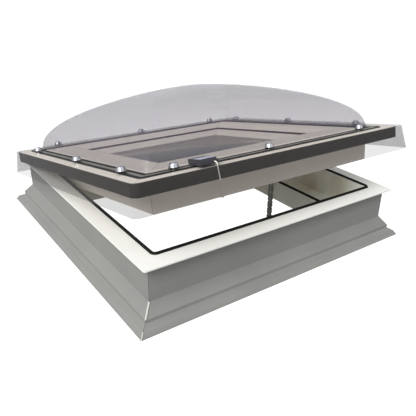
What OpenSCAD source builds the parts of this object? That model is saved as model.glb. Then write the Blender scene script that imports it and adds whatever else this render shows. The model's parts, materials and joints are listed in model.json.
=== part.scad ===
// Domed skylight for a flat roof: an insulated curb frame that stands on the roof, and a glazed
// sash under a clear dome. The sash hinges at the back and a chain drive pushes its front up.
// Origin: centre of the curb's footprint on the roof. X runs along the hinges, +Y points to the
// hinge side, +Z is up. Everything on the sash is drawn shut and then tipped open about the hinges.

/* [Curb frame] */
// Width of the curb at the roof, along the hinges
curb_w = 888; // [700:4:1200]
// Depth of the curb at the roof, from the opening side to the hinge side
curb_d = 888; // [700:4:1200]
// Height of the curb
curb_h = 150; // [140:1:190]
// Distance from the foot's edge in to the outer wall
wall_in = 46; // [40:1:54]
// Distance from the foot's edge in to the edge of the top plate
plate_in = 28; // [24:1:34]
// Distance from the foot's edge in to the upper inner wall
rebate_in = 82; // [78:1:86]
// Distance from the foot's edge in to the lower inner wall, which is the clear roof opening
opening_in = 148; // [140:1:160]
// Height of the ledge inside the curb
ledge_h = 68; // [60:1:74]
// Wall thickness of the plastic profiles
wall = 4; // [3:0.5:5]

/* [Sash] */
// Angle at which the sash stands open
open_angle = 12; // [4:0.5:14]
// Distance from the curb's foot edge in to the outer face of the sash's edge band
sash_in = 22; // [18:1:23]
// Height of the sash top above the curb's top plate, shut
sash_rise = 15; // [13:1:18]
// Height of the dark band round the edge
band_h = 30; // [24:1:32]
// Thickness of the edge band
band_t = 3; // [2:0.5:3.5]
// Corner radius of the edge band
corner_r = 20; // [15:1:30]
// Distance from the band's face in to the outer face of the part that drops into the curb
insert_in = 66; // [64:1:72]
// Depth of the sash below its top
sash_depth = 91; // [80:1:92]
// Distance from the band's face in to the glazing rebate
rebate_j = 166; // [160:1:176]
// Wall thickness of the sash profile
sash_wall = 3.5; // [2.5:0.5:4]

/* [Glazing] */
// Thickness of each pane
pane_t = 4; // [3:1:6]
// Gap between the panes
pane_gap = 16; // [12:1:18]
// Depth of the outer pane's face below the sash top
pane_drop = 28.5; // [26:0.5:30]
// Width of the glazing bead that shows over the pane
bead_w = 31; // [24:1:36]

/* [Dome] */
// Height of the dome above its flange
dome_h = 160; // [100:5:200]
// Thickness of the dome sheet
dome_t = 3; // [2:0.5:4]
// Distance from the band's face in to the foot of the bulge
dome_foot = 59; // [59:1:80]
// Depth of the dome's skirt below the sash top
skirt_h = 65; // [45:1:70]
// How far the skirt stands outside the band at its lower edge
skirt_out = 18; // [14:1:18]
// How far the dome's rim sits to the right in its oversize screw holes
shift_x = 4; // [0:0.5:4]
// How far the dome's rim sits to the front
shift_y = 2; // [0:0.5:2]
// Height of the seal under the dome's flange
seal_h = 3; // [2.5:0.5:6]

/* [Dome screws] */
// Distance from the band's face to the screws
screw_in = 45; // [43:1:48]
// The same distance on the left side, where the row stands further out
screw_in_left = 33; // [30:1:45]
// Distance from the band's corner to the first screw
screw_end = 120; // [100:5:160]
// How far the middle screws of the front and left sides stand towards their shared corner
screw_mid = 32; // [0:1:40]
// Diameter of the screws
screw_d = 6; // [4:0.5:7]

/* [Hinges] */
// Distance of each hinge from the middle
hinge_x = 250; // [150:5:280]
// Height of the hinge axis above the roof
hinge_z = 126; // [122:1:128]
// Width of a hinge
hinge_w = 60; // [50:2:80]
// Diameter of the hinge pin
pin_d = 6; // [5:0.5:7]

/* [Chain drive] */
// Place of the chain along the opening side, from the middle
chain_x = 59; // [0:1:80]
// Distance of the chain from the lower inner wall
chain_off = 26; // [24:1:28]
// Length of the drive's casing
drive_l = 300; // [280:10:400]
// Height of the drive's casing
drive_h = 46; // [44:1:50]
// Depth of the drive's casing
drive_d = 38; // [38:1:46]

/* [Rain sensor] */
// Distance of the sensor from the left end of the opening side
sensor_end = 161; // [150:1:240]
// Length of the sensor's housing
sensor_l = 42; // [36:2:60]
// Diameter of the sensor's lead
lead_d = 2.4; // [2:0.1:2.4]

/* [Hidden] */
$fn = 48;

// Colours
grey = "#8f918b";
white = "#efeee9";
cream = "#cfcac2";
anthracite = "#403f41";
black = "#1f1f1c";
steel = "#b9bcc0";
alu = "#a9acae";

// Half sizes: the curb's footprint and the sash's outline
cx = curb_w / 2;
cy = curb_d / 2;
sx = cx - sash_in;
sy = cy - sash_in;

// Levels
sash_top = curb_h + sash_rise;
plate_bottom = curb_h - wall;
cap_t = 9;                                  // thickness of the sash's overhanging rim
rim_under = sash_top - cap_t;
insert_bottom = sash_top - sash_depth;
gap = 0.3;                                  // clearance between a gasket and what shuts on it

// Hinge axis: in the plane of the band's face, under its lower edge
pivot = [0, sy, hinge_z];

// A cutting margin that takes a cut past the face it opens
eps = 1;

// ---------- Helpers ----------

// Tips what is drawn shut to the open position
module opened() {
    translate(pivot) rotate([-open_angle, 0, 0]) translate(-pivot) children();
}

// Puts the opening side's shape on side k: 0 opening side, 1 right, 2 hinge side, 3 left
module on_side(k) {
    rotate([0, 0, 90 * k]) children();
}

// Half length of side k, and its distance from the middle, of a rectangle with half sizes a and b
function along(k, a, b) = k % 2 == 0 ? a : b;
function away(k, a, b) = k % 2 == 0 ? b : a;

// A profile drawn as [distance in from the edge, height], run along side k between mitred corners
module mitred_bar(k, profile, a, b, reach) {
    half = along(k, a, b);
    edge = away(k, a, b);
    low = min([for (p = profile) p[1]]);
    high = max([for (p = profile) p[1]]);
    on_side(k) intersection() {
        translate([-half, 0, 0]) rotate([90, 0, 90])
            linear_extrude(2 * half) polygon([for (p = profile) [p[0] - edge, p[1]]]);
        translate([0, 0, low - eps]) linear_extrude(high - low + 2 * eps)
            polygon([[-half, -edge], [half, -edge], [half - reach, reach - edge], [reach - half, reach - edge]]);
    }
}

// Corner points of a rectangle with half sizes a and b and round corners of radius r
function rounded(a, b, r, n = 10) = [
    for (q = [0:3]) for (i = [0:n])
        let (t = 90 * q + 90 * i / n, ex = (q == 0 || q == 3) ? 1 : -1, ey = q < 2 ? 1 : -1)
            [ex * (a - r) + r * cos(t), ey * (b - r) + r * sin(t)]];

// A flat ring between two distances in from the edge of a rectangle with half sizes a and b
module ring(a, b, j0, j1, r, z0, z1) {
    translate([0, 0, z0]) linear_extrude(z1 - z0) difference() {
        polygon(rounded(a - j0, b - j0, r));
        polygon(rounded(a - j1, b - j1, max(r - (j1 - j0), 0.5)));
    }
}

// A round rod from z0 to z1 at a place
module rod(at, d, z0, z1) {
    translate([at[0], at[1], z0]) cylinder(d = d, h = z1 - z0);
}

// A round rod lying along X, centred on x
module rod_x(x, y, z, d, l) {
    translate([x - l / 2, y, z]) rotate([0, 90, 0]) cylinder(d = d, h = l);
}

// A round rod lying along Y, from y0 to y1
module rod_y(x, y0, y1, z, d) {
    translate([x, y1, z]) rotate([90, 0, 0]) cylinder(d = d, h = y1 - y0);
}

// A box between two corners
module block(low, high) {
    translate(low) cube(high - low);
}

// ---------- Curb ----------

foot_rise = 14;        // top of the foot's bevel
foot_in = 10;
step_in = 24;          // the small step above the foot
step_low = 21;
step_high = 30;
slope_top = 57;        // where the slope meets the upright wall
sole_in = 12;          // where the outer profile's sole meets the liner's

// Outer profile of the curb: foot, step, slope and upright wall
curb_profile = [[0, 0], [foot_in, foot_rise], [step_in, step_low], [step_in, step_high],
    [wall_in, slope_top], [wall_in, plate_bottom], [wall_in + wall, plate_bottom],
    [wall_in + wall, slope_top - 1.4], [step_in + wall, step_high - 1.4],
    [step_in + wall, step_low - 2.5], [foot_in + 3, foot_rise - 3], [sole_in, wall], [sole_in, 0]];

// Liner of the curb: top plate, upper inner wall, ledge, lower inner wall and sole
liner_profile = [[plate_in, curb_h], [rebate_in, curb_h], [rebate_in, ledge_h], [opening_in, ledge_h],
    [opening_in, 0], [sole_in, 0], [sole_in, wall], [opening_in - wall, wall],
    [opening_in - wall, ledge_h - wall], [rebate_in - wall, ledge_h - wall],
    [rebate_in - wall, plate_bottom], [plate_in, plate_bottom]];

// Foam between the two profiles
foam_profile = [[wall_in + wall, plate_bottom], [wall_in + wall, slope_top - 1.4],
    [step_in + wall, step_high - 1.4], [step_in + wall, step_low - 2.5], [foot_in + 3, foot_rise - 3],
    [sole_in, wall], [opening_in - wall, wall], [opening_in - wall, ledge_h - wall],
    [rebate_in - wall, ledge_h - wall], [rebate_in - wall, plate_bottom]];

module curb_bar(k) {
    color(grey) difference() {
        mitred_bar(k, curb_profile, cx, cy, opening_in + eps);
        if (k == 2) hinge_holes_curb();
    }
}

// The plate's corners are rounded just enough for the rounded corners of the edge band to pass them
plate_r = max(1, corner_r - (plate_in - sash_in - 0.7071 * band_t - 0.35) / 0.2929);

module liner_bar(k) {
    color(white) difference() {
        mitred_bar(k, liner_profile, cx, cy, opening_in + eps);
        translate([0, 0, plate_bottom - eps]) linear_extrude(wall + 2 * eps) difference() {
            square([2 * cx, 2 * cy], center = true);
            polygon(rounded(cx - plate_in, cy - plate_in, plate_r));
        }
        if (k == 0) drive_holes();
    }
}

module curb_insulation() {
    color("#e7e3d2") difference() {
        for (k = [0:3]) mitred_bar(k, foam_profile, cx, cy, opening_in + eps);
        hinge_holes_curb();
        drive_holes();
    }
}

curb_gasket_w = 8;
curb_gasket_r = 12;
module curb_gasket() {
    top = rim_under - gap;
    color(black) {
        ring(cx, cy, rebate_in - curb_gasket_w, rebate_in, curb_gasket_r, curb_h, curb_h + 2);
        ring(cx, cy, rebate_in - curb_gasket_w + 1, rebate_in - 1.5, curb_gasket_r - 1, curb_h + 2, top);
    }
}

ledge_gasket_w = 10;
module ledge_gasket() {
    top = insert_bottom - gap;
    color(black) {
        ring(cx, cy, opening_in - ledge_gasket_w, opening_in, 6, ledge_h, ledge_h + 2);
        ring(cx, cy, opening_in - ledge_gasket_w + 1.5, opening_in - 1.5, 5, ledge_h + 2, top);
    }
}

// ---------- Hinges ----------

knuckle_d = 12;
knuckle_gap = 0.3;
pin_clear = 0.05;
leaf_t = 3;
sash_leaf_t = 2.5;
centre_w = hinge_w / 3;                    // the sash leaf's knuckle
leaf_screw_d = 5;
leaf_screw_l = 22;
leaf_rows = [hinge_z - 46, hinge_z - 18];  // heights of the curb leaf's screws
sash_screw_d = 3.6;
sash_screw_z = rim_under + cap_t / 2;
wall_y = cy - wall_in;                     // outer face of the hinge side's wall

module hinge_holes_curb() {
    for (s = [-1, 1], u = [-1, 1], z = leaf_rows)
        rod_y(s * hinge_x + u * hinge_w / 3, wall_y - leaf_screw_l - eps, wall_y + eps, z, leaf_screw_d + 0.1);
}

module hinge_leaf_curb(s) {
    x = s * hinge_x;
    low = leaf_rows[0] - 9;
    arm_low = hinge_z - knuckle_d / 2;
    finger = (hinge_w - centre_w) / 2 - knuckle_gap;
    color(steel) difference() {
        union() {
            block([x - hinge_w / 2, wall_y, low], [x + hinge_w / 2, wall_y + leaf_t, arm_low + leaf_t]);
            block([x - hinge_w / 2, wall_y, arm_low],
                  [x + hinge_w / 2, pivot[1] - knuckle_d / 2 - 2, arm_low + leaf_t]);
            for (u = [-1, 1]) {
                edge = x + u * (hinge_w / 2 - finger / 2);
                block([edge - finger / 2, wall_y, arm_low], [edge + finger / 2, pivot[1], arm_low + leaf_t]);
                rod_x(edge, pivot[1], hinge_z, knuckle_d, finger);
            }
        }
        rod_x(x, pivot[1], hinge_z, pin_d + 2 * pin_clear, hinge_w + 2 * eps);
        for (u = [-1, 1], z = leaf_rows)
            rod_y(x + u * hinge_w / 3, wall_y - eps, wall_y + leaf_t + eps, z, leaf_screw_d + 0.1);
    }
}

module hinge_leaf_sash(s) {
    x = s * hinge_x;
    y = pivot[1];
    color(steel) opened() difference() {
        union() {
            block([x - hinge_w / 2, y, sash_top - band_h + 1.5], [x + hinge_w / 2, y + sash_leaf_t, sash_top - 1]);
            block([x - centre_w / 2, y, hinge_z], [x + centre_w / 2, y + sash_leaf_t, sash_top - band_h + 2]);
            rod_x(x, y, hinge_z, knuckle_d, centre_w);
        }
        rod_x(x, y, hinge_z, pin_d + 2 * pin_clear, centre_w + 2 * eps);
        for (u = [-1:1]) rod_y(x + u * hinge_w / 3, y - eps, y + sash_leaf_t + eps, sash_screw_z, sash_screw_d + 0.1);
    }
}

module hinge_pin(s) {
    color(steel) {
        rod_x(s * hinge_x, pivot[1], hinge_z, pin_d, hinge_w + 1);
        for (u = [-1, 1]) rod_x(s * hinge_x + u * (hinge_w / 2 + 1.25), pivot[1], hinge_z, pin_d + 3, 1.5);
    }
}

module hinge_screws_curb() {
    face = wall_y + leaf_t;
    color(alu) for (s = [-1, 1], u = [-1, 1], z = leaf_rows) {
        x = s * hinge_x + u * hinge_w / 3;
        rod_y(x, wall_y - leaf_screw_l, face, z, leaf_screw_d);
        rod_y(x, face, face + 2.5, z, 2 * leaf_screw_d - 1);
    }
}

module sash_hinge_holes() {
    for (s = [-1, 1], u = [-1:1])
        rod_y(s * hinge_x + u * hinge_w / 3, sy - 16, sy + eps, sash_screw_z, sash_screw_d + 0.1);
}

module hinge_screws_sash() {
    face = pivot[1] + sash_leaf_t;
    color(alu) opened() for (s = [-1, 1], u = [-1:1]) {
        x = s * hinge_x + u * hinge_w / 3;
        rod_y(x, sy - 15, face, sash_screw_z, sash_screw_d);
        rod_y(x, face, face + 1.2, sash_screw_z, 2 * sash_screw_d - 1);
    }
}

// ---------- Sash ----------

// Heights in the sash's own profiles count from its top, distances from the band's face
insert_low_in = insert_in + 3;             // the drop-in part tapers a little
crest_in = rebate_j - 36;                  // the rounded crest between the dome seal and the glass
crest_h = 7;
ledge_w = 34;                              // the rebate's ledge, with its nose
unit_t = 2 * pane_t + pane_gap;
seat_t = 3.5;
ledge_drop = pane_drop + unit_t + seat_t;
sash_profile = [[band_t, -cap_t], [band_t, 0], [72, 0], [crest_in, crest_h], [rebate_j, -9],
    [rebate_j, -ledge_drop], [rebate_j + ledge_w - 4, -ledge_drop], [rebate_j + ledge_w, -ledge_drop - 4],
    [rebate_j + ledge_w, -ledge_drop - 14], [rebate_j - 6, -sash_depth], [insert_low_in, -sash_depth],
    [insert_in, -cap_t]];
w = sash_wall;
chamber_profile = [[insert_in + w + 1, -w], [crest_in, crest_h - w - 0.5], [rebate_j - w, -10 - w],
    [rebate_j - w, -ledge_drop - w], [rebate_j + ledge_w - w - 2, -ledge_drop - w],
    [rebate_j + ledge_w - w, -ledge_drop - w - 2], [rebate_j + ledge_w - w, -ledge_drop - 12],
    [rebate_j - 7, w - sash_depth], [insert_low_in + w, w - sash_depth]];

function raised(profile, z) = [for (p = profile) [p[0], p[1] + z]];

// Place along a side of screw u, on the side at -1 (front, left) or 1 (back, right)
function screw_along(s, u, half) = u == 0 && s < 0 ? -screw_mid : u * (half - screw_end);
screw_places = concat(
    [for (s = [-1, 1], u = [-1:1]) [screw_along(s, u, sx), s * (sy - screw_in)]],
    [for (u = [-1:1]) [screw_in_left - sx, screw_along(-1, u, sy)]],
    [for (u = [-1:1]) [sx - screw_in, screw_along(1, u, sy)]]);

module screw_holes(d, z0, z1) {
    for (p = screw_places) rod(p, d, z0, z1);
}

module sash_bar(k) {
    color(cream) opened() difference() {
        intersection() {
            mitred_bar(k, raised(sash_profile, sash_top), sx, sy, rebate_j + ledge_w + eps);
            translate([0, 0, insert_bottom - eps]) linear_extrude(sash_depth + crest_h + 2 * eps)
                polygon(rounded(sx - band_t, sy - band_t, corner_r - band_t));
        }
        mitred_bar(k, raised(chamber_profile, sash_top), sx, sy, rebate_j + ledge_w + eps);
        screw_holes(screw_d + 0.1, sash_top - 2 * cap_t, sash_top + eps);
        if (k == 0) lead_groove();
        if (k == 0) chain_bracket_holes();
        if (k == 2) sash_hinge_holes();
    }
}

// Steel box section inside each sash bar, standing on the chamber's floor
box_h = 30;
box_t = 2;
module sash_reinforcement() {
    z0 = insert_bottom + w;
    j0 = insert_low_in + w + 22;           // leaves room for the lead's gland
    box_w = rebate_j - 9 - j0;
    color(steel) opened() for (k = [0:3]) {
        half = along(k, sx, sy) - rebate_j + 6;
        edge = away(k, sx, sy);
        on_side(k) difference() {
            block([-half, j0 - edge, z0], [half, j0 + box_w - edge, z0 + box_h]);
            block([-half - eps, j0 + box_t - edge, z0 + box_t], [half + eps, j0 + box_w - box_t - edge, z0 + box_h - box_t]);
            if (k == 0) chain_bracket_holes();
        }
    }
}

module edge_band() {
    color(anthracite) opened() difference() {
        ring(sx, sy, 0, band_t, corner_r, sash_top - band_h, sash_top);
        sash_hinge_holes();
    }
}

// ---------- Glazing ----------

pane_in = rebate_j + 6;
pane_top = sash_top - pane_drop;

module pane(z) {
    opened() translate([pane_in - sx, pane_in - sy, z - pane_t]) cube([2 * (sx - pane_in), 2 * (sy - pane_in), pane_t]);
}

module glazing_outer_pane() { color("#83857e") pane(pane_top); }
module glazing_inner_pane() { color("#83857e") pane(pane_top - pane_t - pane_gap); }

// Strips with a plain section, round all four sides between mitred corners
module strips(j0, j1, z0, z1) {
    for (k = [0:3]) mitred_bar(k, [[j0, z0], [j1, z0], [j1, z1], [j0, z1]], sx, sy, j1 + eps);
}

module glazing_spacer() {
    low = pane_top - pane_t - pane_gap;
    color("#c9c6bd") opened() difference() {
        strips(pane_in + 4, pane_in + 17, low, low + pane_gap);
        strips(pane_in + 6, pane_in + 15, low + 2, low + pane_gap - 2);
    }
}

module glazing_seat_gasket() {
    low = sash_top - ledge_drop;
    color(black) opened() strips(rebate_j + 8, rebate_j + 26, low, low + seat_t);
}

// Blocks that centre the unit in its rebate, two on each side
block_l = 80;
module glazing_blocks() {
    low = sash_top - ledge_drop;
    color("#2f5f8f") opened() for (k = [0:3], u = [-1, 1]) on_side(k) {
        edge = away(k, sx, sy);
        x = u * (along(k, sx, sy) - pane_in) / 2;
        block([x - block_l / 2, rebate_j - edge, low], [x + block_l / 2, pane_in - edge, low + seat_t + unit_t - 2]);
    }
}

lip_w = 4;
module glazing_lip_gasket() {
    color(black) opened() strips(rebate_j, rebate_j + lip_w, pane_top, sash_top - 6.5);
}

module glazing_beads() {
    j0 = rebate_j + lip_w;
    profile = [[j0, -12], [j0 + bead_w - 1, -pane_drop + 3.8], [j0 + bead_w, -pane_drop + 2.8],
        [j0 + bead_w, -pane_drop], [j0, -pane_drop]];
    color(cream) opened() for (k = [0:3])
        mitred_bar(k, raised(profile, sash_top), sx, sy, j0 + bead_w + eps);
}

// ---------- Dome ----------

flange_low = sash_top + seal_h;
flange_top = flange_low + dome_t;
lip_outer = [32, 42];
lip_inner = [52, 66];
tape_j = [lip_outer[1] + 1, lip_inner[0] - 1];  // the valley between the seal's two lips
screw_clear = 1;

module dome_gasket() {
    color(black) opened() difference() {
        union() {
            ring(sx, sy, lip_outer[0], lip_inner[1], 2, sash_top, sash_top + 1.2);
            ring(sx, sy, lip_outer[0], lip_outer[1], 2, sash_top + 1.2, flange_low);
            ring(sx, sy, lip_inner[0], lip_inner[1], 2, sash_top + 1.2, flange_low);
        }
        screw_holes(screw_d + 2 * screw_clear, sash_top - eps, flange_top + eps);
    }
}

module dome_seal_tape() {
    color("#b9b6ae") opened() difference() {
        ring(sx, sy, tape_j[0], tape_j[1], 2, sash_top + 1.2, sash_top + 2.6);
        screw_holes(screw_d + 2 * screw_clear, sash_top - eps, flange_top + eps);
    }
}

// The dome's rings, each [half size in X, half size in Y, corner radius, height, how much of the rim's
// shift it takes], for an outer skin (t = 0) or an inner skin (t = dome_t)
edge_r = 6;                                // rounding between the flange and the skirt
skirt_r = 14;                              // corner radius of the skirt
bulge_r = 20;                              // corner radius at the bulge's foot
foot_slope = 1.5;                          // how far the bulge's foot leans out
bulge_steps = 14;
function bulge_ring(v, t) =
    let (f = pow(1 - pow(v, 2.05), 1 / 1.79), a = (sx - dome_foot - t) * f, b = (sy - dome_foot - t) * f)
        [a, b, min(min(a, b) * 0.98, bulge_r + 0.6 * min(a, b) * pow(v, 2.8)), flange_top - t + dome_h * v, 0];
function skirt_ring(j, z) = [sx - j, sy - j, skirt_r, z, 1];
function skin(t) = concat(
    [skirt_ring(t - skirt_out, sash_top - skirt_h)],
    [for (i = [0:4]) let (q = 22.5 * i)
        skirt_ring(-skirt_out / 2 + t + (edge_r - t) * (1 - cos(q)), flange_top - edge_r + (edge_r - t) * sin(q))],
    [[sx - dome_foot + foot_slope - t, sy - dome_foot + foot_slope - t, bulge_r, flange_top - t, 0]],
    [for (i = [0:bulge_steps]) bulge_ring(0.03 + 0.967 * sin(90 * i / bulge_steps), t)]);

dome_corner = 6;                           // steps round each corner
function ring_points(r) = [for (p = rounded(r[0], r[1], r[2], dome_corner))
    [p[0] + r[4] * shift_x, p[1] - r[4] * shift_y, r[3]]];

module dome_shell() {
    outer = skin(0);
    inner = skin(dome_t);
    rings = concat(outer, [for (i = [len(inner) - 1:-1:0]) inner[i]]);
    m = 4 * (dome_corner + 1);
    n = len(rings);
    top = len(outer);
    points = [for (r = rings) each ring_points(r)];
    skin_faces = [for (i = [0:n - 1], k = [0:m - 1]) if (i != top - 1)
        let (a = i * m, b = ((i + 1) % n) * m, k1 = (k + 1) % m) each
            [[a + k, b + k, a + k1], [a + k1, b + k, b + k1]]];
    caps = [[for (k = [m - 1:-1:0]) (top - 1) * m + k], [for (k = [0:m - 1]) top * m + k]];
    polyhedron(points = points, faces = concat(skin_faces, caps), convexity = 6);
}

module dome() {
    color("#c9c8cc", 0.45) opened() difference() {
        dome_shell();
        screw_holes(screw_d + screw_clear, flange_low - eps, flange_top + eps);
        rod([lead_x + lead_bend, lead_j - sy], lead_d + 1.6, flange_low - eps, flange_top + eps);
    }
}

washer_t = 2;
washer_d = 24;
head_d = 21;
head_h = 10;
head_r = 15;                               // crown of the head
module dome_washers() {
    color(black) opened() difference() {
        for (p = screw_places) rod(p, washer_d, flange_top, flange_top + washer_t);
        screw_holes(screw_d + 0.4, flange_top - eps, flange_top + washer_t + eps);
    }
}

// A cap screw with a flanged, domed head
module dome_screws() {
    seat = flange_top + washer_t;
    tip = sash_top - 14;
    color("#d8dadf") opened() for (p = screw_places) {
        rod(p, screw_d, tip, seat + 1);
        translate([p[0], p[1], seat]) {
            cylinder(d = washer_d - 1, h = 1.5);
            intersection() {
                cylinder(d = head_d, h = head_h);
                translate([0, 0, head_h - head_r]) sphere(r = head_r);
            }
        }
    }
}

// ---------- Rain sensor and its lead ----------

sensor_x = sensor_end - sx;                // left end of the housing
sensor_j = [2, 52];                        // from the band's face
sensor_front_h = 14.5;
sensor_back_h = 11.5;
connector_l = 9;
lead_x = sensor_x + sensor_l - 5;
lead_z = 4.6;                              // height of the lead's exit above the flange
lead_j = -2.2;
lead_bend = 2.6;                           // how far along X the lead is where it passes the flange
plate_t = 0.8;

// Height of the housing's sloped top above the flange, at a distance in from the band's face
function sensor_top(j) = sensor_front_h
    + (sensor_back_h - sensor_front_h) * (j - sensor_j[0]) / (sensor_j[1] - sensor_j[0]);

// A profile of [distance in from the band's face, height above the flange], from x0 to x1
module sensor_prism(x0, x1, profile) {
    translate([x0, -sy, flange_top]) rotate([90, 0, 90]) linear_extrude(x1 - x0) polygon(profile);
}

module sensor_housing() {
    color(anthracite) opened() difference() {
        sensor_prism(sensor_x, sensor_x + sensor_l,
            [for (j = sensor_j) [j, 0], for (j = [sensor_j[1], sensor_j[0]]) [j, sensor_top(j)]]);
        rod_y(lead_x, sensor_j[0] - eps - sy, sensor_j[0] + 8 - sy, flange_top + lead_z, lead_d + 0.2);
    }
}

module sensor_plate() {
    j0 = sensor_j[0] + 1.5;
    j1 = sensor_j[0] + 30;
    color("#c4c8dc") opened() sensor_prism(sensor_x + 1.5, sensor_x + sensor_l - 4,
        [for (j = [j0, j1]) [j, sensor_top(j)], for (j = [j1, j0]) [j, sensor_top(j) + plate_t]]);
}

module sensor_connector() {
    z = flange_top;
    x = sensor_x + sensor_l;
    color(anthracite) opened()
        block([x, sensor_j[0] + 1.5 - sy, z], [x + connector_l, sensor_j[1] - 12 - sy, z + 8.5]);
}

// Route of the lead with the sash shut: [along X from its exit, in from the band's face, height from
// the sash top]. It leaves the housing, hangs over the band, turns up behind the band's lower edge,
// crosses the rim in a groove and runs down the drop-in part to the gland.
lead_route = [[0, 9, 10.6], [0, 5, 10.6], [0.3, 1, 10.5], [1.2, -1.2, 9.4], [2.2, -2.1, 7.4], [2.8, -2.2, 4],
    [4, -2.2, -4], [5.2, -2.2, -14], [6.8, -2.2, -27], [7.2, -1.9, -30.4], [7.9, -0.8, -32.4],
    [8.8, 1.2, -33], [9.8, 3.2, -32], [10.6, 4.2, -29.6], [11.4, 4.35, -24], [12.6, 4.35, -15],
    [13.2, 4.6, -11.8], [14.2, 5.8, -9], [15.8, 8.4, -7.6], [18, 12, -7.2], [30, 33.2, -7.2],
    [45.2, 60.2, -7.2], [47.2, 63.2, -8.2], [48.6, 64.7, -10.6], [49.4, 65, -16], [51, 65.5, -30],
    [55, 66.5, -60], [58.8, 67.4, -88], [59.2, 67.9, -91.4], [59.4, 69.4, -92.9], [59.6, 72, -93.2],
    [60, 78.4, -93], [60.1, 80.8, -91.8], [60.1, 81.6, -89.4], [60.1, 81.6, -86]];
gland_at = [60.1, 81.6];                   // along X from the lead's exit, in from the band's face
lead_points = [for (p = lead_route) [lead_x + p[0], p[1] - sy, sash_top + p[2]]];

function unit(v) = v / norm(v);
function tangent(path, i) = unit(path[min(i + 1, len(path) - 1)] - path[max(i - 1, 0)]);
// Each ring's first direction is carried over from the last one, so that the tube doesn't twist
function carried(path, i) = i == 0 ? unit(cross(tangent(path, 0), [0.3, 0.2, 1])) :
    let (before = carried(path, i - 1), t = tangent(path, i)) unit(before - (before * t) * t);

module tube(path, d, sides = 8) {
    n = len(path);
    points = [for (i = [0:n - 1]) let (t = tangent(path, i), u = carried(path, i), v = cross(t, u))
        each [for (k = [0:sides - 1]) path[i] + d / 2 * (cos(360 * k / sides) * u + sin(360 * k / sides) * v)]];
    sides_faces = [for (i = [0:n - 2], k = [0:sides - 1]) let (a = i * sides, k1 = (k + 1) % sides) each
        [[a + k, a + k1, a + sides + k1], [a + k, a + sides + k1, a + sides + k]]];
    polyhedron(points = points, faces = concat(sides_faces,
        [[for (k = [sides - 1:-1:0]) k], [for (k = [0:sides - 1]) (n - 1) * sides + k]]), convexity = 8);
}

module sensor_lead() {
    color("#cfc8bd") opened() tube(lead_points, lead_d);
}

lead_gland_d = 8;
groove_depth = 4.2;

// The groove that takes the lead across the rim's underside and into the insert's face
module lead_groove() {
    width = lead_d + 1.8;
    start = [lead_x + 12, 1.4 - sy];
    run = [lead_x + 47.6, 64 - sy] - start;
    translate([start[0], start[1], rim_under - eps]) rotate([0, 0, atan2(run[1], run[0])])
        translate([0, -width / 2, 0]) cube([norm(run) + 4, width, groove_depth + eps]);
    rod([lead_x + gland_at[0], gland_at[1] - sy], lead_gland_d + 0.1, insert_bottom - eps, insert_bottom + w + eps);
}

module lead_gland() {
    at = [lead_x + gland_at[0], gland_at[1] - sy];
    color(black) opened() difference() {
        union() {
            rod(at, lead_gland_d, insert_bottom, insert_bottom + w + 2);
            rod(at, lead_gland_d + 4, insert_bottom + w, insert_bottom + w + 2);
        }
        rod(at, lead_d + 1, insert_bottom - eps, insert_bottom + w + 3);
    }
}

// ---------- Chain drive ----------

drive_face = opening_in - cy;              // the lower inner wall's face
bracket_t = 4;
drive_y = drive_face + bracket_t;
drive_low = 6;
drive_top = drive_low + drive_h;
skin_t = 2.5;
cap_l = 6;
drive_x = chain_x - 0.65 * drive_l;        // left end of the casing
bracket_w = 30;
bracket_xs = [drive_x + 40, drive_x + drive_l - 40];
drive_screw_d = 4.8;

// The chain's upper pin with the sash shut, and where it stands with the sash open
chain_pin_shut = [chain_x, drive_face + chain_off, insert_bottom - 10];
arm = chain_pin_shut - pivot;
chain_pin_open = [chain_x, pivot[1] + arm[1] * cos(open_angle) + arm[2] * sin(open_angle),
                  pivot[2] - arm[1] * sin(open_angle) + arm[2] * cos(open_angle)];
chain_low = drive_top - 8;                 // where the chain leaves the sprocket
chain_run = chain_pin_open[2] - chain_low;
chain_links = max(1, round(chain_run / 9.5));
pitch = chain_run / chain_links;
plate_w = 11;
link_gap = 9;                              // between the side plates
link_t = 1.5;
roller_d = 6;

module drive_holes() {
    for (x = bracket_xs, z = [drive_low + 10, drive_top - 10])
        rod_y(x, drive_face - 16, drive_face + eps, z, drive_screw_d + 0.1);
}

module drive_section(t) {
    block([drive_x + cap_l, drive_y + t, drive_low + t],
          [drive_x + drive_l - cap_l, drive_y + drive_d - t, drive_top - t]);
}

module drive_casing() {
    color(alu) difference() {
        drive_section(0);
        block([drive_x, drive_y + skin_t, drive_low + skin_t],
              [drive_x + drive_l, drive_y + drive_d - skin_t, drive_top - skin_t]);
        block([chain_x - 8, chain_pin_open[1] - 8, drive_top - 2 * skin_t],
              [chain_x + 8, chain_pin_open[1] + 8, drive_top + eps]);
    }
}

module drive_end_caps() {
    color(anthracite) difference() {
        union() {
            for (x = [drive_x, drive_x + drive_l - cap_l])
                block([x, drive_y, drive_low], [x + cap_l, drive_y + drive_d, drive_top]);
        }
        rod_x(drive_x, drive_y + drive_d / 2, drive_low + 12, gland_d, 4 * cap_l);
    }
}

gland_d = 8;
module drive_cable_gland() {
    y = drive_y + drive_d / 2;
    z = drive_low + 12;
    color(black) difference() {
        union() {
            rod_x(drive_x + cap_l / 2, y, z, gland_d - 0.1, cap_l);
            rod_x(drive_x - 4, y, z, gland_d + 4, 8);
        }
        rod_x(drive_x, y, z, 5, 8 * cap_l);
    }
}

motor_d = 28;
motor_l = 96;
gearbox_l = 40;
sprocket_l = 6;
mid_y = drive_y + drive_d / 2;
mid_z = drive_low + skin_t + motor_d / 2;
gearbox_x = chain_x - sprocket_l / 2 - 4 - gearbox_l;

module drive_gearbox() {
    color("#6d7073") difference() {
        block([gearbox_x, drive_y + skin_t, drive_low + skin_t],
              [gearbox_x + gearbox_l, drive_y + drive_d - skin_t, drive_top - skin_t - 4]);
        rod_x(gearbox_x + gearbox_l, sprocket_y, sprocket_z, shaft_d + 0.1, 24);
    }
}

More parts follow.
